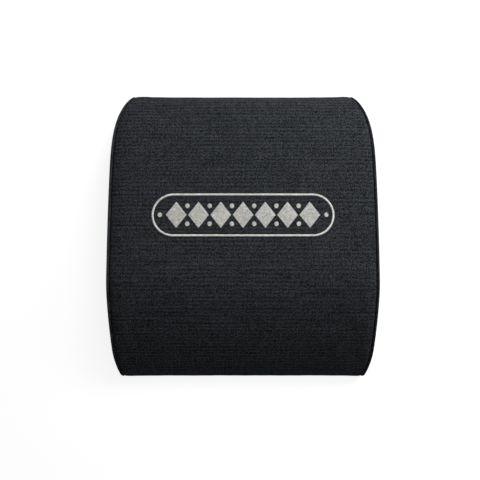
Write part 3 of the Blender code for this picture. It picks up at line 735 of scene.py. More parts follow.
class ABMAT_OT_side_panels(bpy.types.Operator):
    """Make the two side panels, each with its rolled shoulder beside the seam"""

    bl_idname = "ab_mat.side_panels"
    bl_label = "Side Panels"

    def execute(self, context):
        c = cover()
        line = whole_line(c.grid)
        edge = seam_line() + c.seam_gap / 2
        across, inset, toward = self.columns(edge)
        gather_shift, swell_start, swell_width = 0.003, 0.005, 0.004
        from_seam = np.abs(across - edge) + 0.5 * inset
        relief = gathers(line.along[:, None] + gather_shift, from_seam) * (toward == 0)
        ring = int(np.flatnonzero(toward == 0)[-1])
        apart = np.hypot(np.diff(across), np.diff(inset))
        walked = np.concatenate(([0], np.cumsum(apart)))[:ring]
        above = apart[ring - 1] + walked[-1] - walked
        finish = canvas_finish()
        for side, name in ((1, "right"), (-1, "left")):
            points = skin(line, side * across, inset, toward, relief)
            swell = unevenness(points[..., 1], side * 2 * points[..., 2])
            points[..., 0] += side * swell * smooth((inset - swell_start) / swell_width)
            flat = points[..., 1:].copy()
            flat[:, :ring] = points[:, ring, None, 1:] + line.out[:, None] * above[:, None]
            faces = closed_faces(*points.shape[:2])
            faces = faces if side > 0 else faces[..., ::-1]
            mesh = merged(new_mesh(name + "_side", points.reshape(-1, 3), [faces], flat.reshape(-1, 2)))
            piece = new_piece(name + "_side", mesh, "mat", finish, "woven_cover", name + "_side_panel")
            thickened(piece, c.fabric)
        return {"FINISHED"}

    def columns(self, edge):
        """Across, inset and share toward the spine: seam allowance, rolled shoulder and side face.

        Round the shoulder, across = edge + half * (1 - cos a) and inset = sink + drop * (1 - sin a)
        for a from 0 to pi. Over the face, across = face + bulge * sin(pi/2 * share).
        """
        c = cover()
        face = shape().pad_width / 2 - c.side_bulge
        face_inset = 0.0093
        half = (face - edge) / 2
        turn = np.linspace(0, math.pi, 17)
        drop = np.where(turn <= math.pi / 2, half, c.shoulder)
        spread = steps(1, 21)
        start = c.shoulder_sink + c.shoulder
        down_shares = np.array([0.33, 0.67, 1])
        across = np.concatenate([
            [edge, edge], edge + half * (1 - np.cos(turn)), np.full(len(down_shares), face),
            face + c.side_bulge * np.sin(math.pi / 2 * spread),
        ])
        inset = np.concatenate([
            [c.allowance, c.allowance / 2], c.shoulder_sink + drop * (1 - np.sin(turn)),
            start + (face_inset - start) * down_shares, np.full(len(spread), face_inset),
        ])
        toward = np.concatenate([np.zeros(len(across) - len(spread)), spread])
        return across, inset, toward


def whole_line(step):
    """The pad's whole outline as a closed line, with the base's places under the spine's."""
    c = cover()
    s = shape()
    half = s.pad_length / 2
    top = over_hump(c.end_seam, c.end_seam, step)
    spine = spine_places(step)[::-1, 0]
    ends = half - s.base_radius
    count = max(2, round((ends - spine[0]) / step))
    thick_run = np.linspace(ends, spine[0], count + 1)[1:-1]
    thin_run = np.linspace(spine[-1], -ends, count + 1)[1:-1]
    under = under_pad(np.concatenate([thick_run, spine, thin_run]), c.end_seam, c.end_seam)
    return as_line(np.concatenate([top, under[1:-1]]), closed=True, step=step)


class ABMAT_OT_foam_pad(bpy.types.Operator):
    """Make the foam core inside the cover"""

    bl_idname = "ab_mat.foam_pad"
    bl_label = "Foam Core"

    def execute(self, context):
        c = cover()
        coarser, wall_slack = 1.3, 0.001
        line = whole_line(c.grid * coarser)
        at_zip = line.place[:, 0] > shape().pad_length / 2 - wall_slack
        line = line._replace(depth=c.lining + self.zip_room(line.place[:, 1]) * at_zip)
        points = skin(line, *self.columns())
        mesh = new_mesh("foam_pad", points.reshape(-1, 3), [closed_faces(*points.shape[:2])])
        piece = new_piece("foam_pad", merged(mesh), "mat", foam_finish(), "foam", "foam_core")
        return {"FINISHED"}

    def zip_room(self, height):
        """How far the foam stands back at a height behind the hems and, further in, the tapes."""
        off = np.abs(height - zipper().height)
        hem_room, hem_reach, hem_ease = 0.0010, 0.0118, 0.0020
        tape_room, tape_reach, tape_ease = 0.0024, 0.0080, 0.0030
        behind_hems = hem_room * smooth((hem_reach - off) / hem_ease)
        return behind_hems + tape_room * smooth((tape_reach - off) / tape_ease)

    def columns(self):
        """Across, inset and share toward the spine: the top, a rebate for the seam, and the side face.

        The corner above the rebate is a quarter circle. Over the face,
        across = face + bulge * sin(pi/2 * share).
        """
        c = cover()
        seam_room, corner = 0.0018, 0.001
        edge = seam_line() - seam_room
        face = shape().pad_width / 2 - c.side_bulge - c.lining
        flat = np.linspace(0, edge - corner, 46)
        turn = steps(math.pi / 2, 4)
        rebate_depths = np.array([0.0034, 0.0052, 0.0066, 0.0074, 0.0086, 0.0100]) + c.lining
        rebate_shares = np.array([0, 0, 0.06, 0.5, 0.94, 1])
        spread = steps(1, 19)
        across = np.concatenate([
            flat, edge - corner * (1 - np.sin(turn)), edge + (face - edge) * rebate_shares,
            face + c.side_bulge * np.sin(math.pi / 2 * spread),
        ])
        inset = np.concatenate([
            0 * flat, c.lining + corner * (1 - np.cos(turn)), rebate_depths,
            np.full(len(spread), rebate_depths[-1]),
        ])
        toward = np.concatenate([np.zeros(len(across) - len(spread)), spread])
        return mirrored(across, -1), mirrored(inset), mirrored(toward)


# Thread


def laid_on(name):
    """A panel as a function: a place's way across, way along and lift give its point in space.

    The point is read from the panel's grid, straight between its four nearest points, and
    lifted along the grid's normal there.
    """
    if name not in panels:
        raise RuntimeError(f"The panel {name} is made first")
    walked, along, points = panels[name]
    normal = np.cross(np.gradient(points, axis=1), np.gradient(points, axis=0))
    normal /= np.linalg.norm(normal, axis=2)[..., None]

    def place(u, v, lift):
        row = np.clip(np.interp(v, along, np.arange(len(along))), 0, len(along) - 1.001)
        column = np.clip(np.interp(u, walked, np.arange(len(walked))), 0, len(walked) - 1.001)
        i, j = row.astype(int), column.astype(int)
        a, b = (row - i)[..., None], (column - j)[..., None]
        found = [
            (1 - a) * ((1 - b) * field[i, j] + b * field[i, j + 1])
            + a * ((1 - b) * field[i + 1, j] + b * field[i + 1, j + 1])
            for field in (points, normal)
        ]
        return found[0] + found[1] * lift[..., None], found[1]

    return place


def stitches(panel, start, end, radius, lift):
    """Rings of points of stitches on a panel, each from a start to an end on its cloth map.

    A stitch's middle rises as lift * sin(pi t)^(1/2) from 0.6 of its radius below the cloth,
    and its radius swells as (2 + sin(pi t)) / 3.
    """
    sunk_share = 0.6
    t = np.array([0, 0.1, 0.32, 0.68, 0.9, 1])
    way = start[:, None] + (end - start)[:, None] * t[:, None]
    rise = lift * np.sqrt(np.sin(math.pi * t).clip(0)) - sunk_share * radius
    centre, normal = laid_on(panel)(way[..., 0], way[..., 1], np.broadcast_to(rise, way.shape[:2]))
    ahead = np.gradient(centre, axis=1)
    beside = np.cross(ahead, normal)
    beside /= np.linalg.norm(beside, axis=2)[..., None]
    angle = math.pi / 4 + np.arange(4) * math.pi / 2
    thick = (radius * (2 + np.sin(math.pi * t)) / 3)[:, None, None]
    ring = beside[:, :, None] * np.cos(angle)[:, None] + normal[:, :, None] * np.sin(angle)[:, None]
    return centre[:, :, None] + thick * ring


class ABMAT_OT_stitching(bpy.types.Operator):
    """Sew the rows of stitches along the hems above and below the zip"""

    bl_idname = "ab_mat.stitching"
    bl_label = "Hem Stitching"

    def execute(self, context):
        c = cover()
        t = thread()
        half = shape().pad_length / 2
        wall_slack, end_room, lift_share = 0.0004, 0.004, 1.1
        narrowed = float(narrowing(np.array(half)))
        count = round(2 * (seam_line() - end_room) * narrowed / t.stitch)
        u = (np.arange(count) - (count - 1) / 2) * t.stitch / narrowed
        run = (t.stitch - t.stitch_gap) / 2 / narrowed
        finish = thread_finish("sewing_thread", t.sewing_colour, 0.1)
        hems = ("top_cover", c.hem_high + t.hem_stitch), ("zip_facing", c.hem_low - t.hem_stitch)
        for panel, height in hems:
            walked, along, points = panels[panel]
            middle = points[:, points.shape[1] // 2]
            wall = (middle[:, 1] > half - wall_slack) & (np.gradient(middle[:, 2]) < 0)
            way = np.full(count, np.interp(-height, -middle[wall, 2], along[wall]))
            start, end = (np.stack([u + shift, way], axis=1) for shift in (-run, run))
            rings = stitches(panel, start, end, t.thread, t.thread * lift_share)
            name = panel + "_stitches"
            new_piece(name, tube_mesh(name, rings), "mat", finish, "woven_cover")
        return {"FINISHED"}


class ABMAT_OT_embroidery(bpy.types.Operator):
    """Sew the embroidered band of lozenges on the top panel"""

    bl_idname = "ab_mat.embroidery"
    bl_label = "Embroidered Band"

    def execute(self, context):
        t = thread()
        walked, along, points = panels["top_cover"]
        middle = points[:, points.shape[1] // 2]
        above_walls = 0.03
        level = (middle[:, 2] > above_walls) & (np.gradient(middle[:, 1]) > 0)
        way = float(np.interp(t.band_place, middle[level, 1], along[level]))
        pieces = [self.border(), self.lozenges(), self.dots()]
        start, end = (np.concatenate([one[k] for one in pieces]) + (0, way) for k in (0, 1))
        rings = stitches("top_cover", start, end, t.yarn, t.pile)
        finish = thread_finish("silver_thread", t.silver_colour, 0.6)
        new_piece("embroidered_band", tube_mesh("embroidered_band", rings), "mat", finish, "woven_cover")
        return {"FINISHED"}

    def border(self):
        """Satin stitches across a line with straight sides and half-round ends.

        Round each end the line's place is the end's middle + radius * (cos a, sin a).
        """
        t = thread()
        radius = (t.band_height - t.border) / 2
        straight = t.band_length / 2 - t.band_height / 2
        radii_apart = 1.6
        pitch = t.yarn * radii_apart
        along = np.linspace(-straight, straight, round(2 * straight / pitch))
        angle = np.linspace(-math.pi / 2, math.pi / 2, round(math.pi * radius / pitch))[1:-1]
        runs = []
        for sign in (1, -1):
            out = np.stack([0 * along, np.full_like(along, sign)], 1)
            runs.append((out * radius + np.stack([along, 0 * along], 1), out))
        for sign in (1, -1):
            out = np.stack([sign * np.cos(angle), np.sin(angle)], 1)
            runs.append((out * radius + (sign * straight, 0), out))
        place, out = (np.concatenate([run[k] for run in runs]) for k in (0, 1))
        return place - out * t.border / 2, place + out * t.border / 2

    def filled(self, centre, reach, height):
        """Rows of stitches that fill a form whose half-width at a height is reach(height).

        A row is cut into stitches, and each row's cuts lie about a quarter stitch further on
        than the cuts of the row below.
        """
        cut, cut_shift, end_room, shortest = 0.0034, 0.27, 0.0001, 0.0005
        radii_apart = 1.7
        rows = round(height / (thread().yarn * radii_apart))
        row = np.arange(rows)
        v = ((row + 0.5) / rows - 0.5) * height
        half = reach(v)[:, None]
        begin = (np.arange(-12, 12)[None] + (row[:, None] * cut_shift) % 1) * cut
        low = np.clip(begin + end_room, -half, half)
        high = np.clip(begin + cut - end_room, -half, half)
        kept = high - low > shortest
        at = np.broadcast_to(v[:, None], low.shape)
        start, end = (np.stack([side[kept], at[kept]], 1) for side in (low, high))
        centre = np.stack([centre, 0 * centre], 1)
        return tuple((centre[:, None] + one).reshape(-1, 2) for one in (start, end))

    def spacing(self):
        """Distance between the middles of two lozenges."""
        t = thread()
        both_ends_share = 0.62
        return (t.band_length - t.band_height * both_ends_share) / t.lozenges

    def lozenges(self):
        """Filled lozenges in a row: half-width = half-length * (1 - |v| / half-height)."""
        t = thread()
        centre = (np.arange(t.lozenges) - (t.lozenges - 1) / 2) * self.spacing()
        return self.filled(
            centre, lambda v: t.lozenge_length / 2 * (1 - np.abs(2 * v / t.lozenge_height)), t.lozenge_height
        )

    def dots(self):
        """Filled dots between the lozenges, above and below, and one at each end of the band."""
        t = thread()
        end_share, lift_share = 0.19, 0.34
        between = (np.arange(1, t.lozenges) - t.lozenges / 2) * self.spacing()
        last = t.band_length / 2 - t.band_height * end_share
        inner, outer = (
            self.filled(centre, lambda v: np.sqrt((t.dot**2 - v**2).clip(0)), 2 * t.dot)
            for centre in (between, np.array([-last, last]))
        )
        lift = (0, t.lozenge_height * lift_share)
        return tuple(np.concatenate([inner[k] + lift, inner[k] - lift, outer[k]]) for k in (0, 1))


# The zip


class ABMAT_OT_zip_tapes(bpy.types.Operator):
    """Make the zip's two tapes, each with the cord along its inner edge

    Past the stops a tape leans toward the other one, so the two meet at the side seams.
    """

    bl_idname = "ab_mat.zip_tapes"
    bl_label = "Zip Tapes"

    def execute(self, context):
        z = zipper()
        half = z.tape / 2
        opening, overlap, level_end = math.pi * 0.84, 0.0002, 0.001
        around = np.linspace(opening, -opening, 13)
        cord = np.stack([z.bead * np.sin(around), z.tape_edge - overlap - z.bead * np.cos(around)], 1)
        outer = np.linspace(-math.pi / 2, math.pi / 2, 7)
        far = z.tape_edge + z.tape_width - half
        rim = np.stack([half * np.sin(outer), far + half * np.cos(outer)], 1)
        profile = np.concatenate([cord, rim])
        x = np.linspace(-z.tape_half, z.tape_half, 121)[:, None]
        lean_length = z.tape_half - level_end - z.lean_start
        lean = z.tape_lean * smooth((np.abs(x) - z.lean_start) / lean_length)
        finish = tape_finish()
        for side, name in ((1, "upper"), (-1, "lower")):
            across = np.broadcast_to(z.plane + profile[:, 0], (len(x), len(profile)))
            rings = np.stack([x + 0 * across, across, z.height + side * (profile[:, 1] - lean)], axis=2)
            piece = "zip_tape_" + name + "_woven"
            new_piece(piece, tube_mesh(piece, rings[None]), "mat", finish, "zip_tape", "zip_tape_" + name)
        return {"FINISHED"}


class ABMAT_OT_zip_teeth(bpy.types.Operator):
    """Make the zip's two rows of moulded teeth"""

    bl_idname = "ab_mat.zip_teeth"
    bl_label = "Zip Teeth"

    def execute(self, context):
        z = zipper()
        finish = tooth_finish()
        for side, phase, name in ((1, 0.25, "upper"), (-1, 0.75, "lower")):
            x = z.start + (np.arange(z.teeth) + phase) * z.pitch
            tooth = self.tooth() * (1, 1, side)
            middle = np.stack([x, np.full_like(x, z.plane), np.full_like(x, z.height)], 1)
            rings = tooth[None] + middle[:, None, None]
            piece = "zip_teeth_" + name + "_moulded"
            new_piece(piece, tube_mesh(piece, rings), "mat", finish, "zip_teeth", "zip_teeth_" + name)
        return {"FINISHED"}

    def tooth(self):
        """Rings of one tooth round its middle: its outline in X and Z at four places in Y.

        Half its width at a height h is 0.6 - 0.1 tanh(h / 0.5) mm, so two rows mesh with an
        even gap, then it flares to the base that grips the tape. The outer rings lie
        inside the others by the edge's rounding.
        """
        z = zipper()
        millimetre = 0.001
        height = np.array([-0.90, -0.74, -0.40, 0.0, 0.45, 1.0, 1.45, 1.80, 2.80, 3.00])
        middle, swing, ease, tip = 0.6, 0.1, 0.5, 0.46
        half = middle - swing * np.tanh(height / ease)
        half[0] = tip
        half[-4:] = 0.74, 0.86, 0.86, 0.68
        outline = np.stack([np.concatenate([half, -half[::-1]]), np.concatenate([height, height[::-1]])], 1)
        outline *= millimetre
        way = np.roll(outline, -1, axis=0) - np.roll(outline, 1, axis=0)
        out = np.stack([way[:, 1], -way[:, 0]], 1)
        out /= np.linalg.norm(out, axis=1)[:, None]
        y = np.array([-1, -1, 1, 1]) * z.tooth_thickness / 2 + np.array([0, 1, -1, 0]) * z.tooth_edge
        inward = np.array([1, 0, 0, 1]) * z.tooth_edge
        ring = outline[None] - out[None] * inward[:, None, None]
        return np.stack([ring[..., 0], np.broadcast_to(y[:, None], ring.shape[:2]), ring[..., 1]], -1)


class ABMAT_OT_zip_metal(bpy.types.Operator):
    """Finish the zip's slider, pull and stops"""

    bl_idname = "ab_mat.zip_metal"
    bl_label = "Zip Slider and Stops"

    def execute(self, context):
        finish = metal_finish()
        for name in ("zip_slider", "zip_pull", "zip_top_stop_upper", "zip_top_stop_lower", "zip_bottom_stop"):
            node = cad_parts[name]
            for slot in node.material_slots:
                slot.material = finish
            if not node.material_slots:
                node.data.materials.append(finish)
        return {"FINISHED"}


# Finishes


class Finish:
    """A material in the making, with one Principled shader."""

    def __init__(self, name, **shader):
        self.material = bpy.data.materials.new(name)
        self.material.use_nodes = True
        self.tree = self.material.node_tree
        self.tree.nodes.clear()
        self.shader = self.add("BsdfPrincipled")
        out = self.tree.nodes.new("ShaderNodeOutputMaterial")
        self.tree.links.new(self.shader.outputs[0], out.inputs["Surface"])
        for name, value in shader.items():
            self.shader.inputs[name.replace("_", " ")].default_value = value

    def add(self, kind, inputs=None, **settings):
        """A node with its settings, and its inputs linked or set."""
        node = self.tree.nodes.new("ShaderNode" + kind)
        for name, value in settings.items():
            setattr(node, name, value)
        for name, value in (inputs or {}).items():
            if isinstance(value, bpy.types.NodeSocket):
                self.tree.links.new(value, node.inputs[name])
            else:
                node.inputs[name].default_value = value
        return node

    def maths(self, operation, first, second=0.0, third=0.0):
        """One operation on numbers."""
        return self.add("Math", {0: first, 1: second, 2: third}, operation=operation).outputs[0]

    def varied(self, value, amount, base):
        """The base plus the amount times what a value from 0 to 1 has over a half."""
        return self.maths("MULTIPLY_ADD", self.maths("SUBTRACT", value, 0.5), amount, base)

    def cloth(self):
        """The piece's map of its cloth, in metres."""
        return self.add("UVMap", uv_map="cloth").outputs[0]

    def place(self):
        """The place on the object, in metres."""
        return self.add("TexCoord").outputs["Object"]

    def stretched(self, vector, scale):
        """A vector scaled on each axis."""
        return self.add("Mapping", {"Vector": vector, "Scale": scale}).outputs[0]

    def noise(self, vector, scale, detail, roughness):
        """Noise from 0 to 1."""
        inputs = {"Vector": self.stretched(vector, scale), "Scale": 1.0}
        return self.add("TexNoise", {**inputs, "Detail": detail, "Roughness": roughness}).outputs["Fac"]

    def grain(self, size, detail=2.0, roughness=0.6):
        """Noise on the place on the object, alike on all three axes."""
        return self.noise(self.place(), (size, size, size), detail, roughness)

    def cells(self, vector, scale):
        """Distance to the nearest of scattered points."""
        inputs = {"Vector": self.stretched(vector, scale), "Scale": 1.0}
        return self.add("TexVoronoi", inputs).outputs["Distance"]

    def spread(self, value, low, high, to_low=0.0, to_high=1.0):
        """A value's range carried to another, held at its ends."""
        ends = {"From Min": low, "From Max": high, "To Min": to_low, "To Max": to_high}
        return self.add("MapRange", {"Value": value, **ends}).outputs[0]

    def colour(self, colour, amount):
        """Gives the shader a colour times a number."""
        scaled = self.add("VectorMath", {0: (*colour,)}, operation="SCALE")
        self.tree.links.new(amount, scaled.inputs["Scale"])
        self.tree.links.new(scaled.outputs[0], self.shader.inputs["Base Color"])

    def roughness(self, value, low, high):
        """Gives the shader a roughness between two values as a value goes from 0.3 to 0.7."""
        self.tree.links.new(self.spread(value, 0.3, 0.7, low, high), self.shader.inputs["Roughness"])

    def bump(self, height, distance, strength=1.0):
        """Gives the shader a bump from a height between 0 and 1 times a distance."""
        bump = self.add("Bump", {"Height": height, "Distance": distance, "Strength": strength})
        self.tree.links.new(bump.outputs[0], self.shader.inputs["Normal"])


def plain_weave(finish, cloth, yarn):
    """The height of a plain weave: half the larger of |a| + ab and |b| - ab.

    a and b are sin(pi u / yarn) and sin(pi v / yarn), so each yarn passes over and under.
    """
    ways = finish.add("SeparateXYZ", {0: cloth})
    a, b = (finish.maths("SINE", finish.maths("MULTIPLY", ways.outputs[k], math.pi / yarn)) for k in (0, 1))
    both = finish.maths("MULTIPLY", a, b)
    warp = finish.maths("ADD", finish.maths("ABSOLUTE", a), both)
    weft = finish.maths("SUBTRACT", finish.maths("ABSOLUTE", b), both)
    return finish.maths("MULTIPLY", finish.maths("MAXIMUM", warp, weft), 0.5)


def canvas_finish():
    """Charcoal canvas: a plain weave of uneven yarns, each crossing lighter or darker, and lint.

    Every fifth yarn across is a little lighter: 0.25 sin(2 pi v / 5 yarns) is added to the shade. The weave's
    height then scales the colour from 0.25 to 1.6 times, which is painted shade in the dips between the
    yarns.
    """
    name = "charcoal_canvas"
    if name in bpy.data.materials:
        return bpy.data.materials[name]
    c = cover()
    f = Finish(name, Roughness=0.8, Specular_IOR_Level=0.015)
    cloth = f.cloth()
    sway = (0.0006, 0.0006, 0)
    wander = f.add("TexNoise", {"Vector": f.stretched(cloth, (90, 90, 1)), "Scale": 1.0, "Detail": 1.0})
    bent = f.add("VectorMath", {0: wander.outputs["Color"], 1: sway, 2: cloth}, operation="MULTIPLY_ADD")
    bent = bent.outputs[0]
    weave = plain_weave(f, bent, c.yarn)
    weft = f.noise(bent, (16, 340, 1), 1.0, 0.5)
    warp = f.noise(bent, (560, 30, 1), 1.0, 0.5)
    fuzz = f.noise(cloth, (700, 700, 1), 1.0, 0.6)
    counted = f.stretched(bent, (1 / c.yarn, 1 / c.yarn, 0))
    crossing = f.add("VectorMath", {0: counted}, operation="FLOOR").outputs[0]
    speck = f.add("TexWhiteNoise", {"Vector": crossing}, noise_dimensions="2D").outputs["Value"]
    shade = 1.0
    for value, amount in ((weft, 1.1), (warp, 0.9), (speck, 1.5), (fuzz, 4.6)):
        shade = f.varied(value, amount, shade)
    yarns_a_rib, rib_depth, darkest = 5, 0.25, 0.2
    along = f.add("SeparateXYZ", {0: bent}).outputs[1]
    rib = f.maths("SINE", f.maths("MULTIPLY", along, 2 * math.pi / (yarns_a_rib * c.yarn)))
    shade = f.maths("MULTIPLY_ADD", rib, rib_depth, shade)
    # painted shade: the colour is darker in the weave's dips between the yarns and lighter on their crossings
    shade = f.maths("MULTIPLY", f.maths("MAXIMUM", shade, darkest), f.spread(weave, 0.0, 1.0, 0.25, 1.6))
    lint = f.spread(f.cells(cloth, (70, 70, 1)), 0.035, 0.02, 0.0, 1.2)
    f.colour(c.canvas_colour, f.maths("ADD", shade, lint))
    yarns = f.maths("MULTIPLY_ADD", f.maths("ADD", weft, warp), 0.35, weave)
    f.bump(yarns, c.yarn * 0.30, 0.8)
    f.roughness(weft, 0.72, 0.86)
    return f.material


def base_finish():
    """The base panel's fabric: finer, darker and flatter than the canvas."""
    c = cover()
    f = Finish("base_fabric", Roughness=0.86, Specular_IOR_Level=0.25)
    cloth = f.cloth()
    uneven = f.noise(cloth, (160, 160, 1), 4.0, 0.6)
    f.colour(c.base_colour, f.maths("MULTIPLY_ADD", uneven, 0.8, 0.6))
    f.bump(plain_weave(f, cloth, c.yarn * 0.7), c.yarn * 0.2, 0.8)
    return f.material


def rubber_finish():
    """The dots' rubber, slightly uneven."""
    f = Finish("dot_rubber", Roughness=0.62, Specular_IOR_Level=0.4)
    grain = f.grain(900, 3.0)
    f.colour(cover().dot_colour, f.maths("MULTIPLY_ADD", grain, 0.6, 0.7))
    f.roughness(grain, 0.5, 0.7)
    f.bump(grain, 0.00008)
    return f.material


def foam_finish():
    """Closed-cell foam: pores of two sizes, painted darker inside as shade."""
    f = Finish("grey_foam", Roughness=0.9, Specular_IOR_Level=0.2)
    pores, large = (f.cells(f.place(), (scale, scale, scale)) for scale in (700, 230))
    depth = f.maths("MULTIPLY_ADD", f.spread(large, 0.0, 0.3), 0.5, f.spread(pores, 0.0, 0.45))
    # painted shade: the colour is darker in the pores, where the bump sinks
    f.colour(cover().foam_colour, f.spread(depth, 0.0, 1.3, 0.45, 1.1))
    f.bump(depth, 0.0004)
    return f.material


def thread_finish(name, colour, speckle):
    """Twisted thread: painted shade in the small gaps between its fibres, and a soft shine."""
    f = Finish(name, Roughness=0.55, Specular_IOR_Level=0.4, Sheen_Weight=0.1)
    fibres = f.grain(1400)
    shade = f.varied(f.grain(420), 2.2 * speckle, 0.95)
    # painted shade: the colour is darker where the fibres' grain is low, in the gaps that the bump sinks
    f.colour(colour, f.varied(fibres, 0.8, shade))
    f.bump(fibres, 0.00012)
    return f.material


def tape_finish():
    """The tapes' herringbone: slanted ribs that turn back every 1.2 mm, painted darker in their grooves as
    shade.
    """
    turn_back, rib_pitch = 0.0012, 0.00055
    f = Finish("zip_tape_weave", Roughness=0.8, Specular_IOR_Level=0.3, Sheen_Weight=0.1)
    place = f.add("SeparateXYZ", {0: f.place()})
    slant = f.maths("ADD", place.outputs[0], f.maths("PINGPONG", place.outputs[2], turn_back))
    ribs = f.maths("SINE", f.maths("MULTIPLY", slant, 2 * math.pi / rib_pitch))
    ribs = f.maths("MULTIPLY_ADD", ribs, 0.5, 0.5)
    uneven = f.maths("MULTIPLY_ADD", f.grain(300, 3.0), 0.6, 0.7)
    # painted shade: the colour is darker in the grooves between the ribs, where the bump is low
    f.colour(zipper().tape_colour, f.maths("MULTIPLY", f.spread(ribs, 0.0, 1.0, 0.55, 1.2), uneven))
    f.bump(ribs, 0.00016)
    return f.material


def tooth_finish():
    """The teeth's moulded plastic: satin, with a faint grain."""
    f = Finish("moulded_teeth", Roughness=0.38, Specular_IOR_Level=0.5)
    grain = f.grain(1100, 3.0)
    f.colour(zipper().tooth_colour, f.maths("MULTIPLY_ADD", grain, 0.5, 0.75))
    f.roughness(grain, 0.32, 0.46)
    f.bump(grain, 0.00003)
    return f.material


def metal_finish():
    """Black painted metal: an orange-peel skin, rubbed a little smoother in places."""
    f = Finish("black_paint", Roughness=0.35, Specular_IOR_Level=0.5, Coat_Weight=0.3, Coat_Roughness=0.2)
    worn = f.grain(160, 4.0)
    f.colour(zipper().metal_colour, f.maths("MULTIPLY_ADD", worn, 0.8, 0.6))
    f.roughness(worn, 0.26, 0.44)
    f.bump(f.grain(900, 2.0, 0.5), 0.00004)
    return f.material


# The stage


def area_light(name, place, target, reach, power, colour):
    """A square or oblong light at a place, turned to a target."""
    lamp = bpy.data.lights.new(name, "AREA")
    lamp.shape = "RECTANGLE"
    lamp.size, lamp.size_y = reach
    lamp.energy = power
    lamp.color = colour
    light = bpy.data.objects.new(name, lamp)
    light.location = place
    way = Vector(target) - Vector(place)
    light.rotation_euler = way.to_track_quat("-Z", "Y").to_euler()
    bpy.context.scene.collection.objects.link(light)


class ABMAT_OT_stage(bpy.types.Operator):
    """Lay the floor and set the lights and the camera"""

    bl_idname = "ab_mat.stage"
    bl_label = "Stage"

    def execute(self, context):
        scene = context.scene
        s = scene.ab_mat_stage
        corners = np.array([(-1, -1, 0), (1, -1, 0), (1, 1, 0), (-1, 1, 0)]) * s.floor
        floor = bpy.data.objects.new("floor", new_mesh("floor", corners, [np.array([[0, 1, 2, 3]])]))
        scene.collection.objects.link(floor)
        floor.data.materials.append(self.floor_finish())
        self.world()
        area_light("key", (0.42, 0.78, 0.74), (0, 0.05, 0.03), (0.45, 0.45), s.key_power, (1.0, 0.99, 0.97))
        area_light("top", (0.10, 0.02, 0.62), (0.02, 0.02, 0.03), (0.2, 0.2), s.top_power, (0.96, 0.98, 1.0))
        area_light("side", (0.86, 0.55, 0.50), (0, 0.05, 0.03), (0.45, 0.45), s.side_power, (0.95, 1.0, 0.98))
        area_light("rim", (0.1, 1.15, 0.20), (0, 0.1, 0.05), (0.9, 0.2), s.rim_power, (0.93, 1.0, 0.97))
        lens = bpy.data.cameras.new("camera")
        lens.lens = s.lens
        camera = bpy.data.objects.new("camera", lens)
        camera.location = s.camera_place
        camera.rotation_euler = (s.camera_tilt, 0, 0)
        scene.collection.objects.link(camera)
        scene.camera = camera
        scene.view_settings.view_transform = "Standard"
        return {"FINISHED"}

    def floor_finish(self):
        """A pale floor that camera, mirror and glass rays see as white, with its shadows."""
        s = bpy.context.scene.ab_mat_stage
        material = bpy.data.materials.new("floor_white")
        material.use_nodes = True
        nodes, links = material.node_tree.nodes, material.node_tree.links
        nodes.clear()
        plain, faint = (nodes.new("ShaderNodeBsdfDiffuse") for _ in range(2))
        for diffuse, colour in ((plain, s.floor_colour), (faint, s.seen_floor)):
            diffuse.inputs["Color"].default_value = (*colour, 1)
        glow = nodes.new("ShaderNodeEmission")
        glow.inputs["Strength"].default_value = s.floor_glow
        both = nodes.new("ShaderNodeAddShader")
        links.new(glow.outputs[0], both.inputs[0])
        links.new(faint.outputs[0], both.inputs[1])
        parted(material.node_tree, "ShaderNodeOutputMaterial", plain, both)
        return material

    def world(self):
        """White where camera, mirror and glass rays see it, and a weak fill otherwise."""
        world = bpy.data.worlds.new("studio")
        bpy.context.scene.world = world
        world.use_nodes = True
        nodes = world.node_tree.nodes
        nodes.clear()
        fill, white = (nodes.new("ShaderNodeBackground") for _ in range(2))
        for light, strength in ((fill, bpy.context.scene.ab_mat_stage.fill), (white, 1.0)):
            light.inputs["Color"].default_value = (1, 1, 1, 1)
            light.inputs["Strength"].default_value = strength
        parted(world.node_tree, "ShaderNodeOutputWorld", fill, white)


def parted(tree, output, bounced, shown):
    """Ends a tree with one shader for bounced light and another for the rays that are seen."""
    mix = tree.nodes.new("ShaderNodeMixShader")
    tree.links.new(seen(tree), mix.inputs[0])
    tree.links.new(bounced.outputs[0], mix.inputs[1])
    tree.links.new(shown.outputs[0], mix.inputs[2])
    tree.links.new(mix.outputs[0], tree.nodes.new(output).inputs["Surface"])


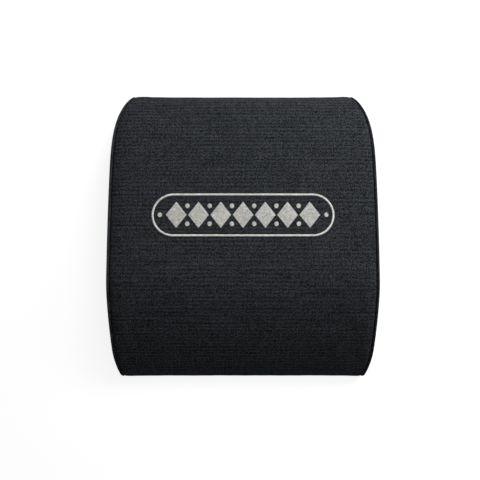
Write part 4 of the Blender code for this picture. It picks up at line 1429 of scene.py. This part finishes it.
def seen(tree):
    """1 for camera, glossy and transmission rays, and 0 for the rest."""
    light_path = tree.nodes.new("ShaderNodeLightPath")
    most = light_path.outputs["Is Camera Ray"]
    for name in ("Is Glossy Ray", "Is Transmission Ray"):
        larger = tree.nodes.new("ShaderNodeMath")
        larger.operation = "MAXIMUM"
        tree.links.new(most, larger.inputs[0])
        tree.links.new(light_path.outputs[name], larger.inputs[1])
        most = larger.outputs[0]
    return most


class ABMAT_PT_panel(bpy.types.Panel):
    """Lists the operators that build the ab mat"""

    bl_label = "Ab Mat"
    bl_idname = "ABMAT_PT_panel"
    bl_space_type = "VIEW_3D"
    bl_region_type = "UI"
    bl_category = "Ab Mat"

    def draw(self, context):
        for operator in OPERATORS:
            self.layout.operator(operator.bl_idname)
        for group in GROUPS:
            settings = getattr(context.scene, group)
            box = self.layout.box()
            for name in settings.bl_rna.properties.keys():
                if name not in {"rna_type", "name"}:
                    box.prop(settings, name)


OPERATORS = (
    ABMAT_OT_foam_pad,
    ABMAT_OT_top_panel,
    ABMAT_OT_side_panels,
    ABMAT_OT_base_panel,
    ABMAT_OT_zip_facing,
    ABMAT_OT_stitching,
    ABMAT_OT_embroidery,
    ABMAT_OT_zip_tapes,
    ABMAT_OT_zip_teeth,
    ABMAT_OT_zip_metal,
    ABMAT_OT_stage,
)
GROUPS = {
    "ab_mat_shape": AbMatShape,
    "ab_mat_cover": AbMatCover,
    "ab_mat_cloth": AbMatCloth,
    "ab_mat_thread": AbMatThread,
    "ab_mat_zip": AbMatZip,
    "ab_mat_stage": AbMatStage,
}


def register():
    """Registers the classes and hangs the groups of settings on the scene."""
    for group in (*GROUPS.values(), *OPERATORS, ABMAT_PT_panel):
        bpy.utils.register_class(group)
    for name, group in GROUPS.items():
        setattr(bpy.types.Scene, name, PointerProperty(type=group))


def unregister():
    """Takes the settings and the classes away again."""
    for name in GROUPS:
        delattr(bpy.types.Scene, name)
    for group in reversed((*GROUPS.values(), *OPERATORS, ABMAT_PT_panel)):
        bpy.utils.unregister_class(group)


def main():
    """Builds every piece and the stage."""
    register()
    for operator in OPERATORS:
        family, name = operator.bl_idname.split(".")
        getattr(getattr(bpy.ops, family), name)()


if __name__ == "__main__":
    main()
